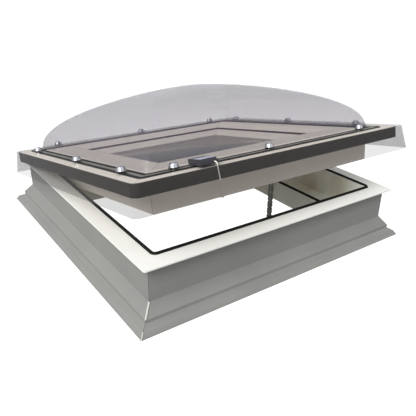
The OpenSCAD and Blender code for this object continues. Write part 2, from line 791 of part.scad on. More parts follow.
module drive_motor() {
    color("#8b8e92") {
        rod_x(gearbox_x - motor_l / 2, mid_y, mid_z, motor_d, motor_l);
        rod_x(gearbox_x - motor_l - 4, mid_y, mid_z, 10, 8);
    }
}

// Sprocket: its teeth reach the pitch line beside the chain's run
teeth = 8;
sprocket_r = 7.5;
shaft_d = 6;
sprocket_y = chain_pin_open[1] - plate_w / 2 - sprocket_r - gap;
sprocket_z = chain_low - sprocket_r - 3;

// Outline of the teeth: each has a root, two flanks and a flat tip
tooth_outline = [for (i = [0:teeth - 1], q = [[0, 3], [0.22, 3], [0.4, 0], [0.6, 0], [0.78, 3]])
    let (t = 360 * (i + q[0]) / teeth, r = sprocket_r - q[1]) [r * cos(t), r * sin(t)]];

module drive_sprocket() {
    color(steel) translate([chain_x - sprocket_l / 2, sprocket_y, sprocket_z]) rotate([0, 90, 0]) difference() {
        union() {
            cylinder(r = sprocket_r - 3.5, h = sprocket_l);
            translate([0, 0, sprocket_l / 2 - 1.25]) linear_extrude(2.5) polygon(tooth_outline);
        }
        translate([0, 0, -eps]) cylinder(d = shaft_d + 0.1, h = sprocket_l + 2 * eps);
    }
}

module drive_sprocket_shaft() {
    color(steel) rod_x(chain_x - 2, sprocket_y, sprocket_z, shaft_d, 24);
}

// The stored end of the chain, laid along the casing's floor past the sprocket
spare_links = 7;
module spare_chain() {
    x = chain_x + 16;
    z = drive_low + skin_t + plate_w / 2;
    color("#77797b") for (i = [0:spare_links - 1]) {
        rod_y(x + i * plate_w, mid_y - link_gap / 2, mid_y + link_gap / 2, z, roller_d);
        for (u = [-1, 1]) {
            y = mid_y + u * (link_gap + link_t) / 2;
            rod_y(x + i * plate_w, y - link_t / 2, y + link_t / 2, z, plate_w);
        }
    }
}

module drive_brackets() {
    color(steel) difference() {
        for (x = bracket_xs)
            block([x - bracket_w / 2, drive_face, drive_low + 2], [x + bracket_w / 2, drive_y, drive_top - 2]);
        for (x = bracket_xs, z = [drive_low + 10, drive_top - 10])
            rod_y(x, drive_face - eps, drive_y + eps, z, drive_screw_d + 0.1);
    }
}

module drive_screws() {
    color(alu) for (x = bracket_xs, z = [drive_low + 10, drive_top - 10])
        rod_y(x, drive_face - 14, drive_y, z, drive_screw_d);
}

module chain_plates() {
    y = chain_pin_open[1];
    color("#8c8e90") for (u = [-1, 1])
        translate([chain_x + u * (link_gap / 2 + link_t / 2) - link_t / 2, y, chain_low])
            rotate([90, 0, 90]) linear_extrude(link_t) difference() {
                union() {
                    for (i = [0:chain_links]) translate([0, i * pitch]) circle(d = plate_w);
                    translate([-plate_w / 2 + 1.2, 0]) square([plate_w - 2.4, chain_run]);
                }
                translate([0, chain_run]) circle(d = 4.4);
            }
}

module chain_rollers() {
    color("#6c6e70") for (i = [0:chain_links - 1])
        rod_x(chain_x, chain_pin_open[1], chain_low + i * pitch, roller_d, link_gap);
}

// ---------- Chain's bracket on the sash ----------

ear_t = 3;
ear_gap = link_gap + 2 * link_t + 1;
bracket_l = 70;
bracket_top = insert_bottom;
bracket_screw_d = 4.2;
bracket_screw_xs = [chain_x - 26, chain_x + 26];

module chain_bracket_holes() {
    for (x = bracket_screw_xs)
        rod([x, chain_pin_shut[1]], bracket_screw_d + 0.1, insert_bottom - eps, insert_bottom + 16);
}

module chain_bracket() {
    y = chain_pin_shut[1];
    color(steel) opened() difference() {
        union() {
            block([chain_x - bracket_l / 2, y - 8, bracket_top - 3], [chain_x + bracket_l / 2, y + 8, bracket_top]);
            for (u = [-1, 1]) {
                x = chain_x + u * (ear_gap / 2 + ear_t / 2);
                block([x - ear_t / 2, y - 6, chain_pin_shut[2]], [x + ear_t / 2, y + 6, bracket_top - 2.5]);
                rod_x(x, y, chain_pin_shut[2], 12, ear_t);
            }
        }
        rod_x(chain_x, y, chain_pin_shut[2], 4.1, bracket_l);
        for (x = bracket_screw_xs) rod([x, y], bracket_screw_d + 0.1, bracket_top - 3 - eps, bracket_top + eps);
    }
}

module chain_bracket_pin() {
    color(alu) opened() {
        rod_x(chain_x, chain_pin_shut[1], chain_pin_shut[2], 4, ear_gap + 2 * ear_t + 1);
        for (u = [-1, 1])
            rod_x(chain_x + u * (ear_gap / 2 + ear_t + 1), chain_pin_shut[1], chain_pin_shut[2], 6.5, 1.2);
    }
}

module chain_bracket_screws() {
    color(alu) opened() for (x = bracket_screw_xs) {
        rod([x, chain_pin_shut[1]], bracket_screw_d, bracket_top - 3, insert_bottom + 12);
        rod([x, chain_pin_shut[1]], 2 * bracket_screw_d - 1, bracket_top - 5, bracket_top - 3);
    }
}

curb_bar(0);  // curb_bar_front
curb_bar(1);  // curb_bar_right
curb_bar(2);  // curb_bar_back
curb_bar(3);  // curb_bar_left
liner_bar(0);  // liner_bar_front
liner_bar(1);  // liner_bar_right
liner_bar(2);  // liner_bar_back
liner_bar(3);  // liner_bar_left
curb_insulation();
curb_gasket();
ledge_gasket();
hinge_leaf_curb(-1);  // hinge_leaf_curb_left
hinge_leaf_curb(1);  // hinge_leaf_curb_right
hinge_pin(-1);  // hinge_pin_left
hinge_pin(1);  // hinge_pin_right
hinge_screws_curb();
drive_casing();
drive_end_caps();
drive_motor();
drive_gearbox();
drive_sprocket();
drive_sprocket_shaft();
spare_chain();
drive_brackets();
drive_screws();
drive_cable_gland();
chain_plates();
chain_rollers();
sash_bar(0);  // sash_bar_front
sash_bar(1);  // sash_bar_right
sash_bar(2);  // sash_bar_back
sash_bar(3);  // sash_bar_left
sash_reinforcement();
edge_band();
glazing_outer_pane();
glazing_inner_pane();
glazing_spacer();
glazing_seat_gasket();
glazing_blocks();
glazing_lip_gasket();
glazing_beads();
dome_gasket();
dome_seal_tape();
dome();
dome_washers();
dome_screws();
sensor_housing();
sensor_plate();
sensor_connector();
sensor_lead();
lead_gland();
chain_bracket();
chain_bracket_pin();
chain_bracket_screws();
hinge_leaf_sash(-1);  // hinge_leaf_sash_left
hinge_leaf_sash(1);  // hinge_leaf_sash_right
hinge_screws_sash();
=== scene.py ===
# %% [markdown]
# # A domed skylight for a flat roof
#
# This lesson dresses a skylight that was already built as exact parts: a sloped curb frame, a glazed
# sash that hinges at the back, a clear dome over it and a chain that pushes the front up. The exact
# parts give every size and place. Here they get soft edges, true sections and finishes.

import json
import math

import bmesh
import bpy
from mathutils import Matrix, Vector


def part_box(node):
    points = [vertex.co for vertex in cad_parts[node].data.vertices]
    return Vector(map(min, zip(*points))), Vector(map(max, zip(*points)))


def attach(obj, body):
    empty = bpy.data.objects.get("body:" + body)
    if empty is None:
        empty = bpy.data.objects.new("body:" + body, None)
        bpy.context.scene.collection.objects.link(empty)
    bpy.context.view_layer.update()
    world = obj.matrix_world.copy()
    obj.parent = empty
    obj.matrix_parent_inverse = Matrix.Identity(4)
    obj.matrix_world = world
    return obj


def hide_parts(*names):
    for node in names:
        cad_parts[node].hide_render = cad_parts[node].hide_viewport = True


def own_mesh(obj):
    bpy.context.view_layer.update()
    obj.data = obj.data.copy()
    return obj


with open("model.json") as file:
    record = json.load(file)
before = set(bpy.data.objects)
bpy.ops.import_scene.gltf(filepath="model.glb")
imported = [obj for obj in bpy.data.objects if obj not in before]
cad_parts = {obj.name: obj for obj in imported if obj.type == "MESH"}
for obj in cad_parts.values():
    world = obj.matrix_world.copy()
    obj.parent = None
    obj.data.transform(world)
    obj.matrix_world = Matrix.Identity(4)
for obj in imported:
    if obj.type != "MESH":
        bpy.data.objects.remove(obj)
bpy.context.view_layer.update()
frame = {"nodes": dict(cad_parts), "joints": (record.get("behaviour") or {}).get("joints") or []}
MM = 0.001

# %% [markdown]
# ## The open sash
#
# The sash stands open, but it is far easier to draw shut, when all its faces are level or upright. So
# every sash piece is made shut and then turned about the hinge axis by the joint's own range. The same
# turn, backwards, reads sizes off the exact parts as if the sash were shut.

# %% The hinge turn
tilt = next(joint for joint in frame["joints"] if joint["name"] == "sash_tilt")
PIVOT = Vector(tilt["pos_m"])
OPEN_ANGLE = math.radians(max(tilt["range_deg"]))
TO_OPEN = Matrix.Translation(PIVOT) @ Matrix.Rotation(-OPEN_ANGLE, 4, "X") @ Matrix.Translation(-PIVOT)
TO_SHUT = TO_OPEN.inverted()


def shut_box(node):
    """Lowest and highest corner of a sash node, as if the sash were shut."""
    points = [TO_SHUT @ v.co for v in frame["nodes"][node].data.vertices]
    low = Vector([min(p[i] for p in points) for i in range(3)])
    high = Vector([max(p[i] for p in points) for i in range(3)])
    return low, high


band_low, band_high = shut_box("edge_band")
SASH_X, SASH_Y, SASH_TOP = band_high
CURB_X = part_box("curb_bar_right")[1][0]
CURB_Y = -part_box("curb_bar_front")[0][1]
PLATE_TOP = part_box("liner_bar_front")[1][2]
PLATE_REACH = -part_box("liner_bar_front")[0][1]
INSERT_LOW = shut_box("sash_bar_front")[0].z
FLANGE_TOP = shut_box("sensor_housing")[0].z
print("sash half sizes:", round(SASH_X, 4), round(SASH_Y, 4), "top:", round(SASH_TOP, 4))

# %% [markdown]
# ## The camera
#
# It stands a little above the sash and to the left of the opening side, and looks down at about 25
# degrees through a normal lens. It could be aimed with a Track To constraint, but three angles state
# the view outright, with the slight roll as well. The small shift only sets where the object lies in
# the frame.

# %% Camera
CAMERA_PLACE = Vector((-0.8205, -1.2267, 0.7179))
TURN, DIP, ROLL = (math.radians(angle) for angle in (39.155, -25.383, 2.783))
LENS, SENSOR_WIDTH, SHIFT_X, SHIFT_Y = 43.48, 36, -0.0829, 0.0097

forward = Vector((math.cos(DIP) * math.sin(TURN), math.cos(DIP) * math.cos(TURN), math.sin(DIP)))
level = forward.cross(Vector((0, 0, 1))).normalized()
upright = level.cross(forward)
right = math.cos(ROLL) * level + math.sin(ROLL) * upright
up = math.cos(ROLL) * upright - math.sin(ROLL) * level
camera = bpy.data.objects.new("camera", bpy.data.cameras.new("camera"))
bpy.context.collection.objects.link(camera)
camera.matrix_world = Matrix.Translation(CAMERA_PLACE) @ Matrix((right, up, -forward)).transposed().to_4x4()
camera.data.sensor_width = SENSOR_WIDTH
camera.data.lens = LENS
camera.data.shift_x = SHIFT_X
camera.data.shift_y = SHIFT_Y
bpy.context.scene.camera = camera
bpy.context.scene.view_settings.view_transform = "Standard"
print("camera at", tuple(round(c, 3) for c in CAMERA_PLACE))

# %% [markdown]
# ## Helpers for finishes
#
# Each finish is a Principled shader with its own small node tree. What several finishes share is a
# node group. A group only gives out masks and heights, and each finish decides what they change. A
# colour is written as a six-digit code, as on a paint card, and turned into the linear values that a
# shader counts in.

# %% Colours and small nodes
VECTOR, NUMBER = "NodeSocketVector", "NodeSocketFloat"


def colour(code):
    """A six-digit colour code as linear values."""
    values = [int(code[i:i + 2], 16) / 255 for i in (0, 2, 4)]
    return [v / 12.92 if v <= 0.04045 else ((v + 0.055) / 1.055) ** 2.4 for v in values] + [1.0]


def new_group(name, inputs, outputs):
    """An empty node group with its sockets, and its two end nodes."""
    group = bpy.data.node_groups.new(name, "ShaderNodeTree")
    for label, kind, value in inputs:
        socket = group.interface.new_socket(name=label, in_out="INPUT", socket_type=kind)
        if value is not None:
            socket.default_value = value
    for label in outputs:
        group.interface.new_socket(name=label, in_out="OUTPUT", socket_type=NUMBER)
    return group, group.nodes.new("NodeGroupInput"), group.nodes.new("NodeGroupOutput")


def math_node(tree, operation, *values):
    """One Math node; each value is a number or a socket."""
    node = tree.nodes.new("ShaderNodeMath")
    node.operation = operation
    for socket, value in zip(node.inputs, values):
        if isinstance(value, (int, float)):
            socket.default_value = value
        else:
            tree.links.new(value, socket)
    return node.outputs[0]


print("mid grey is", [round(c, 3) for c in colour("808080")])

# %% [markdown]
# ## Soft clouds
#
# No moulded or rolled surface has one even tone. A slow noise, spread out so that it reaches both ends
# of its range, blends a finish's light tone into its dark one.

# %% Clouds group
clouds, start, end = new_group("soft_clouds", [("Place", VECTOR, None), ("Scale", NUMBER, 6.0)], ["Mask"])
noise = clouds.nodes.new("ShaderNodeTexNoise")
noise.inputs["Detail"].default_value = 3.0
clouds.links.new(start.outputs["Place"], noise.inputs["Vector"])
clouds.links.new(start.outputs["Scale"], noise.inputs["Scale"])
spread = math_node(clouds, "SUBTRACT", noise.outputs["Fac"], 0.3)
clouds.links.new(math_node(clouds, "MULTIPLY", spread, 2.5), end.inputs["Mask"])
print("group:", clouds.name)

# %% [markdown]
# ## Drawn lines
#
# A profile that was pushed through a die carries faint lines along its length. A Wave texture would
# give even stripes. Noise that is stretched hard along one axis gives uneven ones, as a real die does.

# %% Lines group
lines, start, end = new_group(
    "drawn_lines", [("Place", VECTOR, None), ("Stretch", VECTOR, (2.0, 260.0, 260.0))], ["Mask", "Height"])
stretch = lines.nodes.new("ShaderNodeVectorMath")
stretch.operation = "MULTIPLY"
lines.links.new(start.outputs["Place"], stretch.inputs[0])
lines.links.new(start.outputs["Stretch"], stretch.inputs[1])
noise = lines.nodes.new("ShaderNodeTexNoise")
noise.inputs["Scale"].default_value = 1.0
noise.inputs["Detail"].default_value = 2.0
lines.links.new(stretch.outputs[0], noise.inputs["Vector"])
lines.links.new(noise.outputs["Fac"], end.inputs["Mask"])
lines.links.new(noise.outputs["Fac"], end.inputs["Height"])
print("group:", lines.name)

# %% [markdown]
# ## Fine grain
#
# Rubber, castings and moulded plastic have a grain that is too fine to model. Rough, detailed noise
# serves as its mask and as its height.

# %% Grain group
grain, start, end = new_group(
    "fine_grain", [("Place", VECTOR, None), ("Scale", NUMBER, 900.0)], ["Mask", "Height"])
noise = grain.nodes.new("ShaderNodeTexNoise")
noise.inputs["Detail"].default_value = 4.0
noise.inputs["Roughness"].default_value = 0.65
grain.links.new(start.outputs["Place"], noise.inputs["Vector"])
grain.links.new(start.outputs["Scale"], noise.inputs["Scale"])
grain.links.new(noise.outputs["Fac"], end.inputs["Mask"])
grain.links.new(noise.outputs["Fac"], end.inputs["Height"])
print("group:", grain.name)

# %% [markdown]
# ## Mitre seams
#
# Where two bars were cut at 45 degrees and welded, a thin dark line is left. On the mitre a point is as
# far from the frame's middle along X as along Y, but for a fixed offset on an oblong frame. The mask
# is on where that difference is less than the line's width, so it needs no cut in the shape.

# %% Seams group
seams, start, end = new_group(
    "mitre_seams", [("Place", VECTOR, None), ("Offset", NUMBER, 0.0), ("Width", NUMBER, 0.0008)], ["Mask"])
axes = seams.nodes.new("ShaderNodeSeparateXYZ")
seams.links.new(start.outputs["Place"], axes.inputs[0])
across = math_node(seams, "SUBTRACT", math_node(seams, "ABSOLUTE", axes.outputs["X"]),
                   math_node(seams, "ABSOLUTE", axes.outputs["Y"]))
distance = math_node(seams, "ABSOLUTE", math_node(seams, "SUBTRACT", across, start.outputs["Offset"]))
seams.links.new(math_node(seams, "LESS_THAN", distance, start.outputs["Width"]), end.inputs["Mask"])
print("node groups:", [group.name for group in bpy.data.node_groups])

# %% [markdown]
# ## One maker for all finishes
#
# A finish starts from a light and a dark tone that the clouds blend. Lines or grain roughen it and
# bend its light a little. Sash finishes read their place as if the sash were shut, through a Mapping
# node that turns the point back about the hinge, so that lines stay parallel to the bars. A class
# holds the tree while it grows, so that each finish below is only a few words.

# %% The finish maker
class Finish:
    """A material under construction: its tree, its shader and where it reads its place."""

    def __init__(self, name, light, dark, shut=False, cloud_scale=6.0):
        self.material = bpy.data.materials.new(name)
        self.material.use_nodes = True
        self.tree = self.material.node_tree
        self.shader = self.tree.nodes["Principled BSDF"]
        self.place = self.tree.nodes.new("ShaderNodeTexCoord").outputs["Object"]
        if shut:
            turn_back = self.tree.nodes.new("ShaderNodeMapping")
            turn_back.inputs["Rotation"].default_value = (OPEN_ANGLE, 0, 0)
            turn_back.inputs["Location"].default_value = TO_SHUT.translation
            self.link(self.place, turn_back.inputs["Vector"])
            self.place = turn_back.outputs["Vector"]
        mask = self.group(clouds, Scale=cloud_scale).outputs["Mask"]
        self.tone = self.mix(mask, colour(dark), colour(light))

    def link(self, a, b):
        self.tree.links.new(a, b)

    def math(self, operation, *values):
        return math_node(self.tree, operation, *values)

    def axes(self):
        """The place's X, Y and Z on their own."""
        node = self.tree.nodes.new("ShaderNodeSeparateXYZ")
        self.link(self.place, node.inputs[0])
        return node.outputs

    def group(self, group, **values):
        """A shared group, fed with the place and with its own values."""
        node = self.tree.nodes.new("ShaderNodeGroup")
        node.node_tree = group
        self.link(self.place, node.inputs["Place"])
        for label, value in values.items():
            node.inputs[label].default_value = value
        return node

    def mix(self, factor, a, b):
        """Blends two colours by a mask; a and b are colours or sockets."""
        node = self.tree.nodes.new("ShaderNodeMix")
        node.data_type = "RGBA"
        node.clamp_factor = True
        self.link(factor, node.inputs["Factor"])
        for label, value in (("A", a), ("B", b)):
            socket = next(s for s in node.inputs if s.name == label and s.type == "RGBA")
            if isinstance(value, list):
                socket.default_value = value
            else:
                self.link(value, socket)
        return next(s for s in node.outputs if s.type == "RGBA")

    def vary(self, mask, code, share):
        """Blends the tone towards another colour by a share of a mask."""
        self.tone = self.mix(self.math("MULTIPLY", mask, share), self.tone, colour(code))
        return self

    def roughen(self, mask, low, high):
        """Lets the roughness run from low to high with a mask."""
        ranged = self.tree.nodes.new("ShaderNodeMapRange")
        ranged.inputs["To Min"].default_value = low
        ranged.inputs["To Max"].default_value = high
        self.link(mask, ranged.inputs["Value"])
        self.link(ranged.outputs["Result"], self.shader.inputs["Roughness"])
        return self

    def emboss(self, height, depth, strength):
        """Bends the light as if the surface were that deep."""
        bump = self.tree.nodes.new("ShaderNodeBump")
        bump.inputs["Distance"].default_value = depth
        bump.inputs["Strength"].default_value = strength
        self.link(height, bump.inputs["Height"])
        self.link(bump.outputs["Normal"], self.shader.inputs["Normal"])
        return self

    def grained(self, scale, depth, low, high, strength=0.4):
        node = self.group(grain, Scale=scale)
        self.roughen(node.outputs["Mask"], low, high)
        return self.emboss(node.outputs["Height"], depth, strength)

    def drawn(self, stretch, depth, low, high, strength=0.4):
        node = self.group(lines, Stretch=stretch)
        self.roughen(node.outputs["Mask"], low, high)
        return self.emboss(node.outputs["Height"], depth, strength)

    def dull(self, level):
        """Sets how much of the light is mirrored; 0.5 is usual for a plastic."""
        self.shader.inputs["Specular IOR Level"].default_value = level
        return self

    def done(self, **sockets):
        """Joins the tone to the shader, sets its plain values and gives the material."""
        self.link(self.tone, self.shader.inputs["Base Color"])
        for label, value in sockets.items():
            self.shader.inputs[label.replace("_", " ").title()].default_value = value
        return self.material


print("finish maker ready")

# %% [markdown]
# ## Plastic profiles
#
# The curb and the sash are extruded plastic: satin, with faint lines along each bar from the die, and
# a thin dark line at each mitre where the bars were welded and the bead was trimmed. Bars along X and
# bars along Y need their own copy, because the lines follow the bar.

# %% Grey and cream profile
ALONG_X, ALONG_Y = (1.5, 240.0, 240.0), (240.0, 1.5, 240.0)


def grey_profile(name, stretch):
    """The curb's outer bars."""
    finish = Finish(name, "8b8b86", "83837f", cloud_scale=5.0)
    finish.drawn(stretch, 0.2 * MM, 0.42, 0.6, 0.25)
    finish.vary(finish.group(lines, Stretch=stretch).outputs["Mask"], "767672", 0.3)
    seam = finish.group(seams, Offset=CURB_X - CURB_Y, Width=0.7 * MM).outputs["Mask"]
    return finish.vary(seam, "4c4c48", 0.8).done()


def cream_profile(name, stretch):
    """The sash's bars and its glazing beads."""
    finish = Finish(name, "faf1e5", "f3e9dc", shut=True, cloud_scale=4.0)
    finish.drawn(stretch, 0.25 * MM, 0.35, 0.52, 0.3)
    finish.vary(finish.group(lines, Stretch=stretch).outputs["Mask"], "d6ccbf", 0.3)
    seam = finish.group(seams, Offset=SASH_X - SASH_Y, Width=0.6 * MM).outputs["Mask"]
    return finish.vary(seam, "5f5850", 0.75).done()


grey_x, grey_y = grey_profile("grey_profile_x", ALONG_X), grey_profile("grey_profile_y", ALONG_Y)
cream_x, cream_y = cream_profile("cream_profile_x", ALONG_X), cream_profile("cream_profile_y", ALONG_Y)
print("bar finishes:", [m.name for m in bpy.data.materials if "profile" in m.name])

# %% [markdown]
# ## White liner
#
# The liner is plain white on its plate and its underside. Its inner walls mirror what stands round
# them in soft streaks. A true reflection would need a whole room round the object, so the streaks are
# wide noise between a cream and a white, kept to the walls by height. The thin outer edge of the plate
# is darker, because it lies in the shade of its own top.

# %% White profile
WALL_TOP, WALL_FOOT = PLATE_TOP - 5 * MM, 0.4 * MM
STREAKS = (9.0, 9.0, 3.0)


def white_profile():
    """White, with streaked inner walls and a dark line under the plate's edge."""
    finish = Finish("white_profile", "f4f3ee", "eeede7", cloud_scale=9.0)
    finish.grained(700.0, 0.12 * MM, 0.36, 0.5, 0.3)
    place = finish.axes()
    streaks = finish.tree.nodes.new("ShaderNodeMapRange")
    streaks.inputs["From Min"].default_value = 0.36
    streaks.inputs["From Max"].default_value = 0.62
    finish.link(finish.group(lines, Stretch=STREAKS).outputs["Mask"], streaks.inputs["Value"])
    wall_tone = finish.mix(streaks.outputs["Result"], colour("dcd3b8"), colour("fdfdf2"))
    wall = finish.math("MULTIPLY", finish.math("LESS_THAN", place["Z"], WALL_TOP),
                       finish.math("GREATER_THAN", place["Z"], WALL_FOOT))
    finish.tone = finish.mix(wall, finish.tone, wall_tone)
    reach = finish.math("MAXIMUM", finish.math("ABSOLUTE", place["X"]), finish.math("ABSOLUTE", place["Y"]))
    edge = finish.math("MULTIPLY", finish.math("GREATER_THAN", reach, PLATE_REACH - 0.3 * MM),
                       finish.math("LESS_THAN", place["Z"], PLATE_TOP - 0.8 * MM))
    return finish.vary(edge, "4a4944", 0.9).done()


white = white_profile()
print("liner finish:", white.name)

# %% [markdown]
# ## Dark trim
#
# The strip round the rim is dark brown-grey plastic. Fine level lines run along it, from its own die.

# %% Trim
def trim_finish():
    """Dark satin plastic with level lines."""
    finish = Finish("anthracite_trim", "2e2a29", "252120", shut=True)
    finish.drawn((220.0, 220.0, 900.0), 0.1 * MM, 0.3, 0.45, 0.3)
    finish.vary(finish.group(lines, Stretch=(3.0, 3.0, 700.0)).outputs["Mask"], "45413f", 0.35)
    return finish.dull(0.3).done()


trim = trim_finish()
print("trim finish:", trim.name)

# %% [markdown]
# ## Rubber, foam and small plastics
#
# Rubber is black and dull with a fine grain, so it mirrors very little. The sensor's housing is a
# harder, glossier black, and its face is a silvered film. The lead's sheath is pale, the insulation is
# a coarse foam, and the setting blocks under the glass are blue plastic.

# %% Soft and moulded finishes
rubber = Finish("black_rubber", "232321", "1b1b19").grained(800.0, 0.15 * MM, 0.5, 0.75).dull(0.12).done()
moulded = Finish("black_plastic", "3b3a40", "323136").grained(600.0, 0.15 * MM, 0.3, 0.5).done()
silvered = Finish("sensor_top", "d4d8ee", "c8cce2", cloud_scale=30.0)
silvered = silvered.grained(300.0, 0.02 * MM, 0.12, 0.22).done(metallic=0.35)
sheath = Finish("lead_sheath", "fff8ec", "f4ebdf", cloud_scale=80.0)
sheath = sheath.grained(900.0, 0.05 * MM, 0.4, 0.6).done()
foam = Finish("foam", "e7e3d2", "dbd6c3", cloud_scale=30.0).grained(250.0, 0.8 * MM, 0.8, 0.95).done()
block = Finish("setting_block", "31639a", "2b5585").grained(500.0, 0.1 * MM, 0.4, 0.55).done()
# The weld bead's pale tone is partly its own and partly a painted highlight of a facet that faces the light.
weld = Finish("weld_bead", "c4c5bc", "b2b3aa", cloud_scale=60.0).grained(500.0, 0.1 * MM, 0.3, 0.45).done()
print("soft and moulded:", rubber.name, moulded.name, silvered.name, sheath.name, foam.name, block.name)

# %% [markdown]
# ## Metals
#
# Zinc-plated steel shows its spangle as soft clouds, and drawn aluminium shows lines. The chain is
# oiled steel, so it is only part metal to the eye. The screws are polished chrome, nearly a mirror:
# in a bare white room a mirror would be all white, so a painted reflection darkens their tone where
# they turn away, as if a darker room were mirrored there.

# %% Metal finishes
zinc = Finish("galvanised_steel", "c3c6ca", "a9acb0", cloud_scale=60.0)
zinc = zinc.grained(300.0, 0.05 * MM, 0.22, 0.42).done(metallic=1.0)
casing = Finish("casing_aluminium", "b4b7b9", "a4a7a9").drawn(ALONG_X, 0.05 * MM, 0.25, 0.4)
casing = casing.done(metallic=1.0)
spacer = Finish("spacer_aluminium", "d2cfc6", "c5c2b9").grained(500.0, 0.05 * MM, 0.3, 0.45)
spacer = spacer.done(metallic=1.0)
# The foil tape's pale tone is partly its own and partly a painted reflection of the seal's glossy valley.
tape = Finish("foil_tape", "a8a59d", "8b8780", shut=True, cloud_scale=40.0)
tape = tape.grained(260.0, 0.3 * MM, 0.3, 0.55).done(metallic=0.25)
chain_steel = Finish("chain_steel", "a9aaa8", "7d7e7c", cloud_scale=90.0)
chain_steel = chain_steel.grained(700.0, 0.06 * MM, 0.3, 0.5).done(metallic=0.35)
motor = Finish("motor_steel", "8f9296", "84878b").grained(400.0, 0.05 * MM, 0.35, 0.5).done(metallic=0.6)
cast = Finish("gearbox_metal", "75787b", "65686b", cloud_scale=50.0)
cast = cast.grained(350.0, 0.3 * MM, 0.45, 0.65).done(metallic=0.5)
chrome = Finish("chrome_screw", "f2f3f8", "e4e6ec").grained(200.0, 0.01 * MM, 0.08, 0.16)
# Painted reflection: the chrome's tone turns dark towards its edges, as if a darker room were mirrored there.
painted_reflection_facing = chrome.tree.nodes.new("ShaderNodeLayerWeight").outputs["Facing"]
chrome.tone = chrome.mix(chrome.math("POWER", painted_reflection_facing, 1.6), chrome.tone, colour("3c3c42"))
chrome = chrome.done(metallic=1.0)
print("finishes:", len(bpy.data.materials))

# %% [markdown]
# ## Glass
#
# The panes are tinted and coated. Seen from above, most of what shows is their own grey-green, and only
# a little of what lies below comes through: a plain, low Transmission Weight does that.

# %% Tinted glass
glass = Finish("tinted_glass", "656a60", "575c52", shut=True, cloud_scale=2.5)
glass = glass.grained(40.0, 0.02 * MM, 0.1, 0.2, 0.2).done(transmission_weight=0.12)
print("glass:", glass.name)

# %% [markdown]
# ## Clear acrylic
#
# The dome is thin and clear. Full refraction through two skins would take many light bounces and hide
# the sash, so Alpha lets most light straight through instead, and each skin only darkens what lies
# behind it a little. The flat flange covers least, the skirt and the bulge cover more, and the bulge
# covers most where it is seen edge-on. Its tone is faintly lilac, and grey at the flange and skirt.

# %% Dome acrylic
FLANGE_COVER, SKIRT_COVER, BULGE_COVER, EDGE_COVER = 0.12, 0.15, 0.12, 0.11


def dome_finish():
    """Clear sheet whose cover differs between the skirt, the flange and the bulge."""
    finish = Finish("dome_acrylic", "68606c", "625a66", shut=True, cloud_scale=3.0)
    finish.grained(8.0, 0.05 * MM, 0.04, 0.1, 0.2)
    height = finish.axes()["Z"]
    skirt = finish.math("LESS_THAN", height, FLANGE_TOP - 3.5 * MM)
    bulge = finish.math("GREATER_THAN", height, FLANGE_TOP + 1.5 * MM)
    finish.tone = finish.mix(bulge, colour("4c4947"), finish.tone)
    facing = finish.tree.nodes.new("ShaderNodeLayerWeight").outputs["Facing"]
    edge_on = finish.math("MULTIPLY", finish.math("POWER", facing, 2.0), EDGE_COVER)
    bulge_cover = finish.math("MULTIPLY", bulge, finish.math("ADD", edge_on, BULGE_COVER))
    skirt_cover = finish.math("MULTIPLY", skirt, SKIRT_COVER)
    cover = finish.math("ADD", finish.math("ADD", skirt_cover, bulge_cover), FLANGE_COVER)
    finish.link(cover, finish.shader.inputs["Alpha"])
    return finish.dull(0.25).done()


acrylic = dome_finish()
print("dome:", acrylic.name)

# %% [markdown]
# ## Helpers for shapes
#
# Most new pieces start from one of four moves: a softened copy of an exact part, a mitred bar, a round
# frame or a turned piece. All of them end the same way: the mesh is turned open with the sash if it
# belongs to it, smoothed up to a sharpness, and told which body it rides on.

# %% Finishing a piece
def verts_of(geom):
    """The vertices among an operator's results."""
    return [item for item in geom if isinstance(item, bmesh.types.BMVert)]


def edges_of(geom):
    """The edges among an operator's results."""
    return [item for item in geom if isinstance(item, bmesh.types.BMEdge)]


def new_piece(name, bm, material, body, opened=False, smooth=32):
    """Turns a bmesh into a named piece; smooth is the sharpest angle in degrees that stays soft."""
    if opened:
        bmesh.ops.transform(bm, matrix=TO_OPEN, verts=bm.verts)
    mesh = bpy.data.meshes.new(name)
    bm.to_mesh(mesh)
    bm.free()
    mesh.materials.append(material)
    mesh.shade_smooth()
    mesh.set_sharp_from_angle(angle=math.radians(smooth))
    piece = bpy.data.objects.new(name, mesh)
    bpy.context.collection.objects.link(piece)
    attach(piece, body)
    return piece


print("piece helper ready")

# %% [markdown]
# ## Softened copies
#
# An exact part has knife edges, and a real one catches the light on small rounds. A Bevel modifier
# would do on a clean mesh, but an exact part's mesh is loose triangles. So a copy is merged, its flat
# faces are joined up, and only its long, sharp edges are bevelled.

# %% Softening
CLOSE = 1e-6
FLAT_ANGLE, SHARP_ANGLE = math.radians(0.5), 0.3


def soften(name, node, material, body, width, shortest=6 * MM, segments=2):
    """A copy of an exact part whose long sharp edges are bevelled; it replaces that part."""
    bm = bmesh.new()
    bm.from_mesh(frame["nodes"][node].data)
    bmesh.ops.remove_doubles(bm, verts=bm.verts, dist=CLOSE)
    bmesh.ops.dissolve_limit(bm, angle_limit=FLAT_ANGLE, verts=bm.verts, edges=bm.edges)
    sharp = [e for e in bm.edges
             if e.calc_length() > shortest and len(e.link_faces) == 2 and e.calc_face_angle() > SHARP_ANGLE]
    bmesh.ops.bevel(bm, geom=sharp, offset=width, offset_type="OFFSET", segments=segments, profile=0.5,
                    affect="EDGES", material=-1, clamp_overlap=True)
    piece = new_piece(name, bm, material, body)
    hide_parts(node)
    return piece


print("softening ready")

# %% [markdown]
# ## Mitred bars
#
# A window bar is a section pushed through a die and sawn at 45 degrees. It is made the same way here:
# the section is drawn once, extruded over the whole side and cut by two planes. A swept curve would
# give the same run, but a saw cut leaves true, closed mitres. The plane cuts can also round the rim.

# %% Bars
ROUND_CUTS = 4


def extruded(bm, outline, way):
    """A solid made by pushing an outline's face along a vector."""
    face = bm.faces.new([bm.verts.new(point) for point in outline])
    grown = bmesh.ops.extrude_face_region(bm, geom=[face])["geom"]
    bmesh.ops.translate(bm, vec=way, verts=verts_of(grown))


